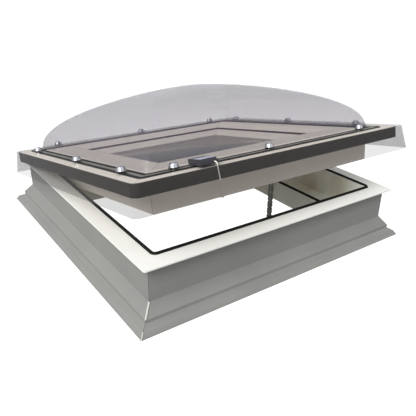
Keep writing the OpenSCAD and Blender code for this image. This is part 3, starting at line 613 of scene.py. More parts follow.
def close_cut(bm, place, normal):
    """Cuts everything past a plane away and closes the cut."""
    bmesh.ops.bisect_plane(bm, geom=bm.verts[:] + bm.edges[:] + bm.faces[:], dist=1e-7,
                           plane_co=place, plane_no=normal, clear_outer=True)
    open_edges = [e for e in bm.edges if len(e.link_faces) == 1]
    bmesh.ops.holes_fill(bm, edges=open_edges, sides=0)


def mitred_bar(section, side, half_x, half_y, corner=0.0, corner_in=0.0):
    """A section of [distance in, height] along one side; 0 is the opening side, 1 the right one."""
    half, edge = (half_x, half_y) if side % 2 == 0 else (half_y, half_x)
    bm = bmesh.new()
    extruded(bm, [(-half, distance - edge, z) for distance, z in section], (2 * half, 0, 0))
    for sign in (-1, 1):
        close_cut(bm, (sign * half, -edge, 0), (sign, 1, 0))
        for step in range(ROUND_CUTS) if corner else ():
            angle = math.radians(45) * (step + 0.5) / ROUND_CUTS
            normal = Vector((sign * math.sin(angle), -math.cos(angle), 0))
            centre = Vector((sign * (half - corner_in - corner), corner_in + corner - edge, 0))
            close_cut(bm, centre + corner * normal, normal)
    bmesh.ops.recalc_face_normals(bm, faces=bm.faces)
    bmesh.ops.rotate(bm, verts=bm.verts, cent=(0, 0, 0), matrix=Matrix.Rotation(side * math.pi / 2, 3, "Z"))
    return bm


print("bar helper ready")

# %% [markdown]
# ## Round frames
#
# Gaskets and strips run on round their corners. Their section is a loose ring of edges that is
# extruded along each straight side and spun a quarter turn at each corner, until it meets its start.

# %% Frames
def round_frame(section, half_x, half_y, corner, steps=8, bm=None):
    """A closed section swept round a rectangle with round corners."""
    bm = bm or bmesh.new()
    verts = [bm.verts.new((corner - half_x, distance - half_y, z)) for distance, z in section]
    ring = [bm.edges.new((a, b)) for a, b in zip(verts, verts[1:] + verts[:1])]
    for side in range(4):
        half, other = (half_x, half_y) if side % 2 == 0 else (half_y, half_x)
        turn_side = Matrix.Rotation(side * math.pi / 2, 3, "Z")
        grown = bmesh.ops.extrude_edge_only(bm, edges=ring)["geom"]
        verts = verts_of(grown)
        bmesh.ops.translate(bm, vec=turn_side @ Vector((2 * (half - corner), 0, 0)), verts=verts)
        ring = [e for e in edges_of(grown) if all(v in verts for v in e.verts)]
        centre = turn_side @ Vector((half - corner, corner - other, 0))
        last = bmesh.ops.spin(bm, geom=verts + ring, cent=centre, axis=(0, 0, 1), angle=math.pi / 2,
                              steps=steps, use_duplicate=False)["geom_last"]
        ring = edges_of(last)
    bmesh.ops.remove_doubles(bm, verts=bm.verts, dist=CLOSE)
    bmesh.ops.recalc_face_normals(bm, faces=bm.faces)
    return bm


print("frame helper ready")

# %% [markdown]
# ## Turned pieces
#
# Screws, washers, pins and rollers come off a lathe, so half their outline is spun about their axis.
# The ready-made cylinder has no rounded shoulder, and an outline can have as many steps as the piece.

# %% Turning
LAY_DOWN = {"Z": Matrix(), "X": Matrix.Rotation(math.pi / 2, 4, "Y")}


def turned(outline, place, bm, axis="Z", steps=28):
    """Adds half an outline of [radius, height], spun about its axis and set at a place."""
    part = bmesh.new()
    verts = [part.verts.new((radius, 0, z)) for radius, z in outline]
    edges = [part.edges.new(pair) for pair in zip(verts, verts[1:])]
    bmesh.ops.spin(part, geom=verts + edges, cent=(0, 0, 0), axis=(0, 0, 1), angle=2 * math.pi,
                   steps=steps, use_merge=True, use_duplicate=False)
    bmesh.ops.remove_doubles(part, verts=part.verts, dist=CLOSE)
    bmesh.ops.recalc_face_normals(part, faces=part.faces)
    bmesh.ops.transform(part, matrix=Matrix.Translation(place) @ LAY_DOWN[axis], verts=part.verts)
    mesh = bpy.data.meshes.new("turned")
    part.to_mesh(mesh)
    part.free()
    bm.from_mesh(mesh)
    bpy.data.meshes.remove(mesh)


print("shape helpers ready")

# %% [markdown]
# ## Curb frame
#
# Four outer bars and four liner bars, mitred and welded. Their sections are exact already, so they
# are only softened: no moulded plastic has a knife edge, and the small rounds catch the light.

# %% Curb bars
SIDES = ("front", "right", "back", "left")
GREYS = (grey_x, grey_y, grey_x, grey_y)
CREAMS = (cream_x, cream_y, cream_x, cream_y)
for side, grey in zip(SIDES, GREYS):
    soften("curb_" + side, "curb_bar_" + side, grey, "curb", 1.0 * MM)
    soften("liner_" + side, "liner_bar_" + side, white, "curb", 0.5 * MM)
print("curb bars softened:", 2 * len(SIDES))

# %% [markdown]
# ## Weld beads
#
# The weld leaves a flat bead where two slopes meet, trimmed with a knife. Its pale tone is partly the
# trimmed plastic and partly a painted highlight, where the bead's facet faces the light. A bump could
# hint at it, but it shows in the outline of the corner. So each bead is a thin lens of plastic that
# follows the mitre down the slope, half sunk into both bars. One corner's beads are drawn and then copied.

# %% Weld beads
SLOPE_TOP = (46 * MM, 57 * MM)
SLOPE_FOOT = (24 * MM, 30 * MM)
FOOT_TOP = (10 * MM, 14 * MM)
FOOT_EDGE = (1.2 * MM, 1.6 * MM)


def weld_bead(bm, first, last, width, height):
    """A bead along the mitre from one [distance in, height] point to another."""
    a, b = (Vector((inward - CURB_X, inward - CURB_Y, z)) for inward, z in (first, last))
    rod = bmesh.ops.create_cone(bm, cap_ends=True, segments=10, radius1=width / 2, radius2=width / 2,
                                depth=(b - a).length)["verts"]
    bmesh.ops.scale(bm, vec=(1, height / width, 1), verts=rod)
    along = (b - a).normalized()
    sideways = Vector((1, -1, 0)).normalized()
    turn_rod = Matrix((sideways, along.cross(sideways), along)).transposed().to_4x4()
    bmesh.ops.transform(bm, matrix=Matrix.Translation((a + b) / 2) @ turn_rod, verts=rod)


bm = bmesh.new()
weld_bead(bm, SLOPE_FOOT, SLOPE_TOP, 4.2 * MM, 2.4 * MM)
weld_bead(bm, FOOT_EDGE, FOOT_TOP, 2.6 * MM, 1.6 * MM)
one_corner = bm.verts[:] + bm.edges[:] + bm.faces[:]
for quarter in (1, 2, 3):
    copied = bmesh.ops.duplicate(bm, geom=one_corner)["geom"]
    bmesh.ops.rotate(bm, verts=verts_of(copied), cent=(0, 0, 0),
                     matrix=Matrix.Rotation(quarter * math.pi / 2, 3, "Z"))
new_piece("corner_welds", bm, weld, "curb")
print("weld beads:", 2 * len(SIDES))

# %% [markdown]
# ## Curb gaskets
#
# Two rubber rings: one on the edge of the plate, one on the ledge below. Each has a flat foot and a
# hollow lip that leans inwards. One section, swept once round, makes each of them.

# %% Gaskets
GASKET_R = 14 * MM


def lip_section(width, base, top):
    """Foot, upright and rounded lip, as [distance in, height] in the order of the outline."""
    lip = top - base
    return [(0, base), (width, base), (width, base + 1.6 * MM), (width - 1.2 * MM, base + 2.4 * MM),
            (width - 1.0 * MM, base + 0.62 * lip), (width - 1.6 * MM, base + 0.86 * lip),
            (0.62 * width, top), (0.38 * width, base + 0.93 * lip),
            (0.28 * width, base + 0.7 * lip), (0.44 * width, base + 0.45 * lip),
            (0.38 * width, base + 2.4 * MM), (0, base + 1.6 * MM)]


def curb_gasket(name, node, width):
    """A rubber ring in the exact gasket's place."""
    low, high = (Vector(corner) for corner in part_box(node))
    bm = round_frame(lip_section(width, low.z, high.z), high.x, high.y, GASKET_R)
    piece = new_piece(name, bm, rubber, "curb", smooth=50)
    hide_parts(node)


curb_gasket("rim_gasket", "curb_gasket", 8 * MM)
curb_gasket("ledge_seal", "ledge_gasket", 10 * MM)
print("gasket section points:", len(lip_section(8 * MM, 0, 6 * MM)))

# %% [markdown]
# ## Sash section
#
# The sash's section has an overhanging rim, a low crest inside the dome's foot, the rebate for the
# glass and a deep part that drops into the curb. Shallow grooves from the die run along its top. The
# grooves are drawn in the section, because a bump alone would not break the light at a low angle.

# %% Sash section
BAND_T, BAND_R = 3 * MM, 20 * MM
RIM_T, SLOPE_IN, CREST_IN, CREST_H = 9 * MM, 72 * MM, 130 * MM, 7 * MM
REBATE_IN, LEDGE_IN, INSERT_IN = 166 * MM, 200 * MM, 66 * MM
RIM_GROOVES = (11 * MM, 25 * MM)
SLOPE_GROOVES = (82 * MM, 94 * MM, 106 * MM, 118 * MM)
GROOVE_W, GROOVE_H = 1.5 * MM, 0.6 * MM
LEDGE_Z = shut_box("glazing_seat_gasket")[0].z
REBATE_TOP = SASH_TOP - 9 * MM
RIM_LOW = SASH_TOP - RIM_T


def groove(distance, z):
    return [(distance - GROOVE_W / 2, z), (distance - GROOVE_W / 4, z - GROOVE_H),
            (distance + GROOVE_W / 4, z - GROOVE_H), (distance + GROOVE_W / 2, z)]


def crest_z(distance):
    """Height of the top where it slopes up to the crest."""
    return SASH_TOP + CREST_H * (distance - SLOPE_IN) / (CREST_IN - SLOPE_IN)


top_line = [(BAND_T, SASH_TOP - 0.4 * MM), (BAND_T + 0.4 * MM, SASH_TOP)]
for distance in RIM_GROOVES:
    top_line += groove(distance, SASH_TOP)
top_line.append((SLOPE_IN, SASH_TOP))
for distance in SLOPE_GROOVES:
    top_line += groove(distance, crest_z(distance))
crest_top = SASH_TOP + CREST_H
crest = [(CREST_IN - 5 * MM, crest_z(CREST_IN - 5 * MM)), (CREST_IN - 1 * MM, crest_top - 0.1 * MM),
         (CREST_IN + 3 * MM, crest_top - 0.7 * MM), (CREST_IN + 7 * MM, crest_top - 2.6 * MM)]
rebate = [(REBATE_IN - 1.5 * MM, REBATE_TOP + 0.7 * MM), (REBATE_IN, REBATE_TOP - 1 * MM),
          (REBATE_IN, LEDGE_Z), (LEDGE_IN - 4 * MM, LEDGE_Z), (LEDGE_IN, LEDGE_Z - 4 * MM),
          (LEDGE_IN, LEDGE_Z - 14 * MM)]
bottom = [(REBATE_IN - 6 * MM, INSERT_LOW), (INSERT_IN + 4.5 * MM, INSERT_LOW),
          (INSERT_IN + 3 * MM, INSERT_LOW + 1.5 * MM), (INSERT_IN, RIM_LOW), (BAND_T, RIM_LOW)]
sash_section = top_line + crest + rebate + bottom
print("sash section points:", len(sash_section))

# %% [markdown]
# ## Sash bars
#
# Four bars from the one section. The rim's outer corners are rounded with a few cuts, so that the band
# fits round them, and the rest stays mitred.

# %% Sash bars
for index, (side, cream) in enumerate(zip(SIDES, CREAMS)):
    bm = mitred_bar(sash_section, index, SASH_X, SASH_Y, BAND_R - BAND_T, BAND_T)
    piece = new_piece("sash_" + side, bm, cream, "sash", opened=True, smooth=28)
    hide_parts("sash_bar_" + side)
print("sash bars:", len(SIDES))

# %% [markdown]
# ## Edge band
#
# A dark satin strip is bent round the rim and hides its raw edge. A flat ribbon would look like paint,
# so the strip has its real thickness, and its section has rounded edges.

# %% Edge band
low_z, high_z = band_low.z, band_high.z
band_section = [(0, low_z + 1.0 * MM), (0.4 * MM, low_z), (2.6 * MM, low_z), (BAND_T, low_z + 1.0 * MM),
                (BAND_T, high_z - 0.5 * MM), (2.5 * MM, high_z), (0.9 * MM, high_z), (0, high_z - 0.9 * MM)]
bm = round_frame(band_section, SASH_X, SASH_Y, BAND_R, steps=12)
piece = new_piece("band", bm, trim, "sash", opened=True, smooth=40)
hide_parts("edge_band")
print("edge band height:", round(high_z - low_z, 4))

# %% [markdown]
# ## Panes
#
# Two panes with a spacer stand on the rebate's ledge. They are exact, and are only softened at their
# ground edges.

# %% Panes
for node in ("glazing_outer_pane", "glazing_inner_pane"):
    soften(node.replace("glazing_", "glass_"), node, glass, "sash", 0.5 * MM)
PANE_TOP = shut_box("glazing_outer_pane")[1].z
print("pane top, shut:", round(PANE_TOP, 4))

# %% [markdown]
# ## Lip and beads
#
# A black lip seals the outer pane, and a sloped bead clips in beside it and holds the pane down. Both
# are cut at the corners like the bars, so they are mitred bars too.

# %% Lip and beads
LIP_W, BEAD_W = 4 * MM, 31 * MM
LIP_TOP = SASH_TOP - 6.5 * MM
BEAD_IN = REBATE_IN + LIP_W
lip_strip = [(REBATE_IN, PANE_TOP), (BEAD_IN, PANE_TOP), (BEAD_IN, LIP_TOP - 1.2 * MM),
             (REBATE_IN + 3 * MM, LIP_TOP - 0.2 * MM), (REBATE_IN + 1.6 * MM, LIP_TOP),
             (REBATE_IN, LIP_TOP - 1 * MM)]
bead = [(BEAD_IN, SASH_TOP - 12.6 * MM), (BEAD_IN + 0.6 * MM, SASH_TOP - 12 * MM),
        (BEAD_IN + 9 * MM, SASH_TOP - 15.6 * MM), (BEAD_IN + 9.6 * MM, SASH_TOP - 16.5 * MM),
        (BEAD_IN + 10.8 * MM, SASH_TOP - 16.6 * MM), (BEAD_IN + BEAD_W - 1.5 * MM, PANE_TOP + 4 * MM),
        (BEAD_IN + BEAD_W, PANE_TOP + 2.4 * MM), (BEAD_IN + BEAD_W, PANE_TOP), (BEAD_IN, PANE_TOP)]
for index, (side, cream) in enumerate(zip(SIDES, CREAMS)):
    bm = mitred_bar(lip_strip, index, SASH_X, SASH_Y)
    piece = new_piece("pane_lip_" + side, bm, rubber, "sash", opened=True)
    if index == 0:
        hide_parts("glazing_lip_gasket")
    bm = mitred_bar(bead, index, SASH_X, SASH_Y)
    piece = new_piece("pane_bead_" + side, bm, cream, "sash", opened=True)
    if index == 0:
        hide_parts("glazing_beads")
print("lips and beads:", 2 * len(SIDES))

# %% [markdown]
# ## Dome seal
#
# Under the dome's flange runs a rubber seal with two lips, and a foil tape lies in the valley between
# them. The tape's pale tone is partly its own and partly a painted reflection of the glossy valley.
# The lips show through the clear flange as two black lines, so they are drawn at full width.

# %% Seal lips and tape
FLANGE_LOW = FLANGE_TOP - 3 * MM
OUTER_LIP_IN, OUTER_LIP_W = 32 * MM, 10 * MM
INNER_LIP_IN, INNER_LIP_W = 52 * MM, 14 * MM
LIP_BASE_T, TAPE_T, TAPE_GAP = 1.2 * MM, 2.6 * MM, 0.2 * MM
TAPE_IN = OUTER_LIP_IN + OUTER_LIP_W + TAPE_GAP
TAPE_W = INNER_LIP_IN - TAPE_IN - TAPE_GAP


def seal_lip(width):
    """One lip: a flat foot that narrows to a round crest under the flange."""
    base, top = SASH_TOP, FLANGE_LOW - 0.05 * MM
    return [(0, base), (width, base), (width, base + LIP_BASE_T), (0.82 * width, top - 0.5 * MM),
            (0.66 * width, top), (0.34 * width, top), (0.18 * width, top - 0.5 * MM), (0, base + LIP_BASE_T)]


bm = round_frame(seal_lip(OUTER_LIP_W), SASH_X - OUTER_LIP_IN, SASH_Y - OUTER_LIP_IN, 13 * MM, steps=6)
round_frame(seal_lip(INNER_LIP_W), SASH_X - INNER_LIP_IN, SASH_Y - INNER_LIP_IN, 16 * MM, steps=6, bm=bm)
piece = new_piece("dome_seal", bm, rubber, "sash", opened=True, smooth=50)
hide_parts("dome_gasket")
strip = [(0, SASH_TOP), (TAPE_W, SASH_TOP), (TAPE_W, SASH_TOP + TAPE_T - 0.2 * MM),
         (TAPE_W - 0.4 * MM, SASH_TOP + TAPE_T), (0.4 * MM, SASH_TOP + TAPE_T),
         (0, SASH_TOP + TAPE_T - 0.2 * MM)]
bm = round_frame(strip, SASH_X - TAPE_IN, SASH_Y - TAPE_IN, 12 * MM, steps=6)
piece = new_piece("seal_tape", bm, tape, "sash", opened=True)
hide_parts("dome_seal_tape")
print("tape width:", round(TAPE_W, 4))

# %% [markdown]
# ## The dome's rings
#
# The dome was blown from one flat sheet: a straight skirt, a flat flange under the screws, and a
# bulge whose corners grow rounder towards its top. Subdivision would round the flange as well, so the
# form is written as rings instead, from the skirt's edge to the crown. A ring is a rectangle with
# round corners: its half sizes, its corner's radius, its height, and whether it moves with the rim.

# %% Dome rings
DOME_T, DOME_H = 3 * MM, 160 * MM
SKIRT_H, SKIRT_OUT, SKIRT_R, EDGE_R = 65 * MM, 18 * MM, 14 * MM, 6 * MM
FOOT_IN, BULGE_R = 59 * MM, 20 * MM
FOOT_OUTER, FOOT_RISE = FOOT_IN - 1.5 * MM, 0.6 * MM
EDGE_STEPS, BULGE_RINGS = 6, 26


def skirt_ring(outside, z):
    return (SASH_X + outside, SASH_Y + outside, SKIRT_R, z, 1.0)


def foot_ring(outside, z):
    return (SASH_X - FOOT_OUTER + outside, SASH_Y - FOOT_OUTER + outside, BULGE_R, z, 0.0)


def bulge_ring(rise):
    """A ring of the blown part, at a share of its height."""
    share = (1 - rise ** 2.05) ** (1 / 1.79)
    half_x, half_y = (SASH_X - FOOT_IN) * share, (SASH_Y - FOOT_IN) * share
    radius = min(min(half_x, half_y) * 0.98, BULGE_R + 0.6 * min(half_x, half_y) * rise ** 2.8)
    return (half_x, half_y, radius, FLANGE_TOP + DOME_H * rise, 0.0)


rings = [skirt_ring(SKIRT_OUT, SASH_TOP - SKIRT_H), skirt_ring(0.75 * SKIRT_OUT, SASH_TOP - SKIRT_H / 2)]
for step in range(EDGE_STEPS + 1):
    arc = math.pi / 2 * step / EDGE_STEPS
    rings.append(skirt_ring(SKIRT_OUT / 2 - EDGE_R * (1 - math.cos(arc)),
                            FLANGE_TOP - EDGE_R + EDGE_R * math.sin(arc)))
rings += [foot_ring(2 * MM, FLANGE_TOP), foot_ring(0, FLANGE_TOP + FOOT_RISE)]
for step in range(BULGE_RINGS + 1):
    rings.append(bulge_ring(0.03 + 0.97 * math.sin(math.pi / 2 * step / BULGE_RINGS)))
print("dome rings:", len(rings))

# %% [markdown]
# ## The dome's sheet
#
# A grid is wrapped on the rings, one row to a ring, and closed where its two ends meet. A Solidify
# modifier then gives the sheet its thickness on the inside, so the outer form stays as drawn.

# %% Dome sheet
CORNER_STEPS = 12
AROUND = 4 * (CORNER_STEPS + 1)
RIM_SHIFT = Vector((4 * MM, -2 * MM, 0))


def ring_point(ring, index):
    """Point of a ring: the corners take all the points, the straight runs lie between them."""
    half_x, half_y, radius, z, shifted = ring
    quarter, step = divmod(index % AROUND, CORNER_STEPS + 1)
    angle = math.pi / 2 * (quarter + step / CORNER_STEPS)
    sign_x, sign_y = (1, -1, -1, 1)[quarter], (1, 1, -1, -1)[quarter]
    return Vector((sign_x * (half_x - radius) + radius * math.cos(angle),
                   sign_y * (half_y - radius) + radius * math.sin(angle), z)) + shifted * RIM_SHIFT


bm = bmesh.new()
bmesh.ops.create_grid(bm, x_segments=AROUND, y_segments=len(rings) - 1, size=0.5)
for vert in bm.verts:
    index = round((vert.co.x + 0.5) * AROUND)
    ring = rings[round((vert.co.y + 0.5) * (len(rings) - 1))]
    vert.co = ring_point(ring, index)
bmesh.ops.remove_doubles(bm, verts=bm.verts, dist=CLOSE)
bmesh.ops.recalc_face_normals(bm, faces=bm.faces)
dome = new_piece("dome_sheet", bm, acrylic, "sash", opened=True, smooth=40)
sheet = dome.modifiers.new("sheet thickness", "SOLIDIFY")
sheet.thickness = DOME_T
sheet.offset = -1
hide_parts("dome")
print("dome faces:", len(dome.data.polygons))

# %% [markdown]
# ## Dome screws: where they stand
#
# The places come from the exact screws, so that a change of the exact parts carries over. Their top
# faces are found by height, and the corners of each one are gathered into a single middle.

# %% Screw places
HEAD_SPAN = 24 * MM


def gather(points, reach):
    """Middles of clusters of points that lie within reach of each other."""
    clusters = []
    for point in points:
        near = next((c for c in clusters if (c[0].xy - point.xy).length < reach), None)
        if near:
            near.append(point)
        else:
            clusters.append([point])
    return [sum((p.xy for p in c), Vector((0, 0))) / len(c) for c in clusters]


tallest = shut_box("dome_screws")[1].z
shut_points = [TO_SHUT @ v.co for v in frame["nodes"]["dome_screws"].data.vertices]
screw_places = gather([p for p in shut_points if abs(p.z - tallest) < 0.5 * MM], HEAD_SPAN)
print("dome screws:", len(screw_places))

# %% [markdown]
# ## Dome screws and washers
#
# Polished cap screws on black washers hold the flange. A screw is turned from one outline: flange,
# side, round shoulder, and a recess for the driver.

# %% Screws and washers
WASHER_T, WASHER_R, SCREW_FLANGE_R = 2 * MM, 12 * MM, 11.5 * MM
HEAD_H, HEAD_R, RECESS_Z = 10 * MM, 10.5 * MM, 6 * MM
screw_outline = [(0, 0), (SCREW_FLANGE_R, 0), (SCREW_FLANGE_R, 0.9 * MM),
                 (SCREW_FLANGE_R - 0.5 * MM, 1.5 * MM), (HEAD_R + 0.3 * MM, 1.9 * MM), (HEAD_R, 3.0 * MM),
                 (HEAD_R - 0.5 * MM, 5.8 * MM), (HEAD_R - 1.4 * MM, 8.0 * MM), (HEAD_R - 2.8 * MM, 9.4 * MM),
                 (HEAD_R - 4.2 * MM, HEAD_H), (HEAD_R - 4.8 * MM, HEAD_H - 0.5 * MM),
                 (HEAD_R - 5.0 * MM, RECESS_Z), (0, RECESS_Z)]
washer_outline = [(0, 0), (WASHER_R, 0), (WASHER_R, 1.2 * MM), (WASHER_R - 0.8 * MM, WASHER_T), (0, WASHER_T)]
screws, washers = bmesh.new(), bmesh.new()
for place in screw_places:
    turned(screw_outline, (place.x, place.y, FLANGE_TOP + WASHER_T), screws, steps=32)
    turned(washer_outline, (place.x, place.y, FLANGE_TOP), washers, steps=32)
piece = new_piece("cap_screws", screws, chrome, "sash", opened=True, smooth=38)
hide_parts("dome_screws")
piece = new_piece("screw_washers", washers, rubber, "sash", opened=True)
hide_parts("dome_washers")
print("screw outline points:", len(screw_outline))

# %% [markdown]
# ## Rain sensor
#
# A wedge of dark plastic with a silvered top and a small connector. Their exact shapes are right, and
# only need the soft edges of a moulding.

# %% Sensor
soften("sensor_body", "sensor_housing", moulded, "sash", 0.9 * MM, segments=3)
soften("sensor_face", "sensor_plate", silvered, "sash", 0.3 * MM)
soften("sensor_plug", "sensor_connector", moulded, "sash", 1.0 * MM, segments=3)
print("sensor pieces: 3")

# %% [markdown]
# ## The sensor's lead
#
# A thin lead runs out of the housing, over the band, up behind its foot, across the rim in a groove
# and down the drop-in part to its gland. It is a smooth curve through the same points as the exact
# one, given thickness by the curve's bevel and then made a mesh. A chain of cylinders would
# show a kink at every point. It is drawn a little thicker than the exact lead, so that it can be seen.
# Each point is millimetres along the rim, in from the band, and up.

# %% Lead
LEAD_D = 3.0 * MM
LEAD_X = shut_box("sensor_housing")[1].x - 5 * MM
LEAD_ROUTE = [
    (0, 9, 10.6), (0, 5, 10.6), (0.3, 1, 10.5), (1.2, -1.2, 9.4), (2.2, -2.1, 7.4), (2.8, -2.2, 4),
    (4, -2.2, -4), (5.2, -2.2, -14), (6.8, -2.2, -27), (7.2, -1.9, -30.4), (7.9, -0.8, -32.4),
    (8.8, 1.2, -33), (9.8, 3.2, -32), (10.6, 4.2, -29.6), (11.4, 4.35, -24), (12.6, 4.35, -15),
    (13.2, 4.6, -11.8), (14.2, 5.8, -9), (15.8, 8.4, -7.6), (18, 12, -7.2), (30, 33.2, -7.2),
    (45.2, 60.2, -7.2), (47.2, 63.2, -8.2), (48.6, 64.7, -10.6), (49.4, 65, -16), (51, 65.5, -30),
    (55, 66.5, -60), (58.8, 67.4, -88), (59.2, 67.9, -91.4), (59.4, 69.4, -92.9), (59.6, 72, -93.2),
    (60, 78.4, -93), (60.1, 80.8, -91.8), (60.1, 81.6, -89.4), (60.1, 81.6, -86)]
curve = bpy.data.curves.new("lead", "CURVE")
curve.dimensions = "3D"
curve.bevel_depth = LEAD_D / 2
curve.bevel_resolution = 3
curve.resolution_u = 4
curve.use_fill_caps = True
spline = curve.splines.new("BEZIER")
spline.bezier_points.add(len(LEAD_ROUTE) - 1)
for point, (along, distance, height) in zip(spline.bezier_points, LEAD_ROUTE):
    point.co = TO_OPEN @ Vector((LEAD_X + along * MM, distance * MM - SASH_Y, SASH_TOP + height * MM))
    point.handle_left_type = point.handle_right_type = "AUTO"
draft = bpy.data.objects.new("lead_draft", curve)
bpy.context.collection.objects.link(draft)
bpy.context.view_layer.update()
bm = bmesh.new()
bm.from_mesh(draft.to_mesh())
bmesh.ops.remove_doubles(bm, verts=bm.verts, dist=CLOSE)
bpy.data.objects.remove(draft)
piece = new_piece("lead", bm, sheath, "sash", smooth=60)
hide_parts("sensor_lead")
print("lead points:", len(LEAD_ROUTE))

# %% [markdown]
# ## The chain's size
#
# A push chain is stiff one way, so that it can push: waisted side plates on round pins. The exact
# chain is a plain strip of the right size, and its length is shared out among the links.

# %% Chain size
LINKS, LINK_T = 16, 1.5 * MM
chain_low, chain_high = (Vector(corner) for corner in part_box("chain_plates"))
chain_middle = (chain_low + chain_high) / 2
half_width = (chain_high.x - chain_low.x) / 2
plate_r = (chain_high.y - chain_low.y) / 2
lowest_pin = chain_low.z + plate_r
pitch = (chain_high.z - plate_r - lowest_pin) / LINKS
print("chain links:", LINKS, "pitch:", round(pitch, 5))

# %% [markdown]
# ## Chain plates
#
# Each link is a pair of waisted plates, and every second pair lies inside its neighbours. A plate is
# an outline of two round ends and a waist, pushed to its thickness.

# %% Chain plates
END_STEPS, END_LAP = 6, 0.12
END_WIDE, END_TALL, WAIST = 0.98, 0.72, 0.62


def link_plate(bm, x, thickness, z):
    """One waisted plate, lying in the YZ plane, with its lower pin at height z."""
    outline = []
    for sign, centre in ((1, z + pitch), (-1, z)):
        for step in range(END_STEPS + 1):
            angle = (math.pi + 2 * END_LAP) * step / END_STEPS - END_LAP
            outline.append((sign * plate_r * END_WIDE * math.cos(angle),
                            centre + sign * plate_r * END_TALL * math.sin(angle)))
        outline.append((-sign * WAIST * plate_r, z + pitch / 2))
    extruded(bm, [(x, chain_middle.y + y, height) for y, height in outline], (thickness, 0, 0))


bm = bmesh.new()
for link in range(LINKS):
    inset = 0 if link % 2 == 0 else LINK_T
    for sign in (-1, 1):
        x = chain_middle.x + sign * (half_width - inset - LINK_T / 2) - LINK_T / 2
        link_plate(bm, x, LINK_T * 0.96, lowest_pin + link * pitch)
bmesh.ops.recalc_face_normals(bm, faces=bm.faces)
plates = new_piece("chain_links", bm, chain_steel, "curb")
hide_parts("chain_plates")
print("chain plates:", 2 * LINKS)

# %% [markdown]
# ## Chain pins and rollers
#
# A roller shows between the plates at every joint, on a thinner pin that runs right through.

# %% Chain pins
ROLLER_R, PIN_R = 3 * MM, 1.5 * MM
roller_half = half_width - 2 * LINK_T - 0.2 * MM
roller_outline = [(0, -roller_half), (ROLLER_R - 0.4 * MM, -roller_half), (ROLLER_R, -roller_half + 0.4 * MM),
                  (ROLLER_R, roller_half - 0.4 * MM), (ROLLER_R - 0.4 * MM, roller_half), (0, roller_half)]
pin_outline = [(0, -half_width), (PIN_R, -half_width), (PIN_R, half_width), (0, half_width)]
bm = bmesh.new()
for pin in range(LINKS + 1):
    place = (chain_middle.x, chain_middle.y, lowest_pin + pin * pitch)
    turned(roller_outline, place, bm, "X", 14)
    turned(pin_outline, place, bm, "X", 10)
rollers = new_piece("chain_pins", bm, chain_steel, "curb")
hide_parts("chain_rollers")
print("chain pins:", LINKS + 1)

# %% [markdown]
# ## The chain's meshes
#
# On the real drive the chain rolls up inside the casing as the sash comes down. No joint here can roll
# a chain, and the chain is not pressed or shortened here: each of its pieces only gets a mesh of its
# own.

# %% Chain meshes
for piece in (plates, rollers):
    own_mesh(piece)

# %% [markdown]
# ## Brackets, hinges and drive
#
# Folded steel and castings are softened copies: their shapes are exact, and a fine bevel is all that a
# pressed or die-cut edge has.

# %% Small metal and the drive
for side in ("left", "right"):
    soften("leaf_curb_" + side, "hinge_leaf_curb_" + side, zinc, "curb",
           0.4 * MM, 3 * MM)
    soften("leaf_sash_" + side, "hinge_leaf_sash_" + side, zinc, "sash",
           0.4 * MM, 3 * MM)
soften("opener_bracket", "chain_bracket", zinc, "sash", 0.4 * MM, 3 * MM)
soften("opener_casing", "drive_casing", casing, "curb", 0.8 * MM)
soften("opener_caps", "drive_end_caps", moulded, "curb", 1.2 * MM, segments=3)
soften("opener_brackets", "drive_brackets", zinc, "curb", 0.5 * MM)
soften("opener_gearbox", "drive_gearbox", cast, "curb", 1.0 * MM, segments=3)
print("softened metal done")

# %% [markdown]
# ## Finishes for the exact parts that stay
#
# Pins, screws, foam, spacers and what lies inside keep their exact shapes and only get a finish. They
# are small or hidden, so a new shape would not be seen.

# %% Finishes for the rest
KEPT = {
    "curb_insulation": foam, "hinge_pin_left": zinc, "hinge_pin_right": zinc, "hinge_screws_curb": zinc,
    "hinge_screws_sash": zinc, "drive_motor": motor, "drive_sprocket": chain_steel,
    "drive_sprocket_shaft": chain_steel, "spare_chain": chain_steel, "drive_screws": zinc,
    "drive_cable_gland": rubber, "sash_reinforcement": zinc, "glazing_spacer": spacer,
    "glazing_seat_gasket": rubber, "glazing_blocks": block, "lead_gland": rubber,
    "chain_bracket_pin": zinc, "chain_bracket_screws": zinc}
for node, material in KEPT.items():
    mesh = frame["nodes"][node].data
    mesh.materials.clear()
    mesh.materials.append(material)
print("kept parts:", len(KEPT))

# %% [markdown]
# ## Floor
#
# A pale floor that glows like a light table where it is looked at, so that no shadow shows. To the
# object it is a plain, darker floor that glows only faintly, or it would light the walls from below.
# The Light Path node tells the two apart: it is 1 for what the camera sees and 0 for all other light.

# %% Floor
FLOOR_HALF, FLOOR_Z, FLOOR_GREY = 60.0, -0.0005, 0.22
FLOOR_GLOW, SEEN_GLOW = 0.2, 1.0


def seen_by_camera(tree):
    return tree.nodes.new("ShaderNodeLightPath").outputs["Is Camera Ray"]


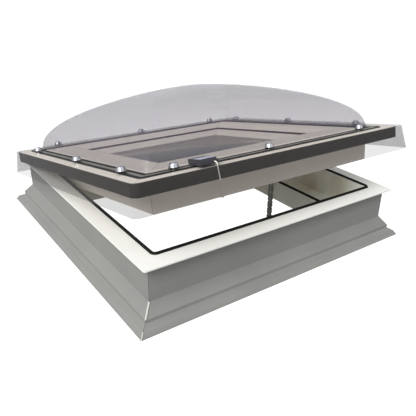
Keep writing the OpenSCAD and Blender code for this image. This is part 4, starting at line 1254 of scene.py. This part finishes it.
def floor_finish():
    """Matt grey to the object, glowing white to the camera."""
    material = bpy.data.materials.new("floor")
    material.use_nodes = True
    tree = material.node_tree
    shader = tree.nodes["Principled BSDF"]
    shader.inputs["Base Color"].default_value = (FLOOR_GREY, FLOOR_GREY, FLOOR_GREY, 1)
    shader.inputs["Roughness"].default_value = 0.9
    shader.inputs["Specular IOR Level"].default_value = 0.0
    shader.inputs["Emission Color"].default_value = (1, 1, 1, 1)
    glow = math_node(tree, "MULTIPLY_ADD", seen_by_camera(tree), SEEN_GLOW, FLOOR_GLOW)
    tree.links.new(glow, shader.inputs["Emission Strength"])
    return material


bm = bmesh.new()
bmesh.ops.create_grid(bm, x_segments=1, y_segments=1, size=FLOOR_HALF)
mesh = bpy.data.meshes.new("floor")
bm.to_mesh(mesh)
bm.free()
mesh.materials.append(floor_finish())
floor = bpy.data.objects.new("floor", mesh)
bpy.context.collection.objects.link(floor)
floor.location.z = FLOOR_Z
print("floor:", 2 * FLOOR_HALF, "m wide")

# %% [markdown]
# ## Sky
#
# An even, faintly blue sky fills the shadows. An area light on each side could do it too, but would
# show as patches in the dome and the screws. Where the camera looks past the floor, the sky is
# brighter, so that the background is one white all round.

# %% Sky
SKY_COLOUR, SKY_STRENGTH, SEEN_SKY = (0.93, 0.96, 1.0, 1), 0.66, 0.5
world = bpy.data.worlds.new("studio")
world.use_nodes = True
background = world.node_tree.nodes["Background"]
background.inputs["Color"].default_value = SKY_COLOUR
sky = math_node(world.node_tree, "MULTIPLY_ADD", seen_by_camera(world.node_tree), SEEN_SKY, SKY_STRENGTH)
world.node_tree.links.new(sky, background.inputs["Strength"])
bpy.context.scene.world = world
print("sky strength:", SKY_STRENGTH)

# %% [markdown]
# ## Sun
#
# One broad, soft sun from the upper left lights the tops and the left side, and leaves the opening
# side darker. Its wide angle gives the edges of the shadows the softness of a studio's big lamp.

# %% Sun
SUN_FROM, SUN_STRENGTH, SUN_ANGLE = Vector((-0.68, -0.25, 0.69)), 2.95, math.radians(35)
lamp = bpy.data.lights.new("key", "SUN")
lamp.energy = SUN_STRENGTH
lamp.angle = SUN_ANGLE
sun = bpy.data.objects.new("key", lamp)
bpy.context.collection.objects.link(sun)
sun.rotation_euler = SUN_FROM.to_track_quat("Z", "Y").to_euler()
print("light set")
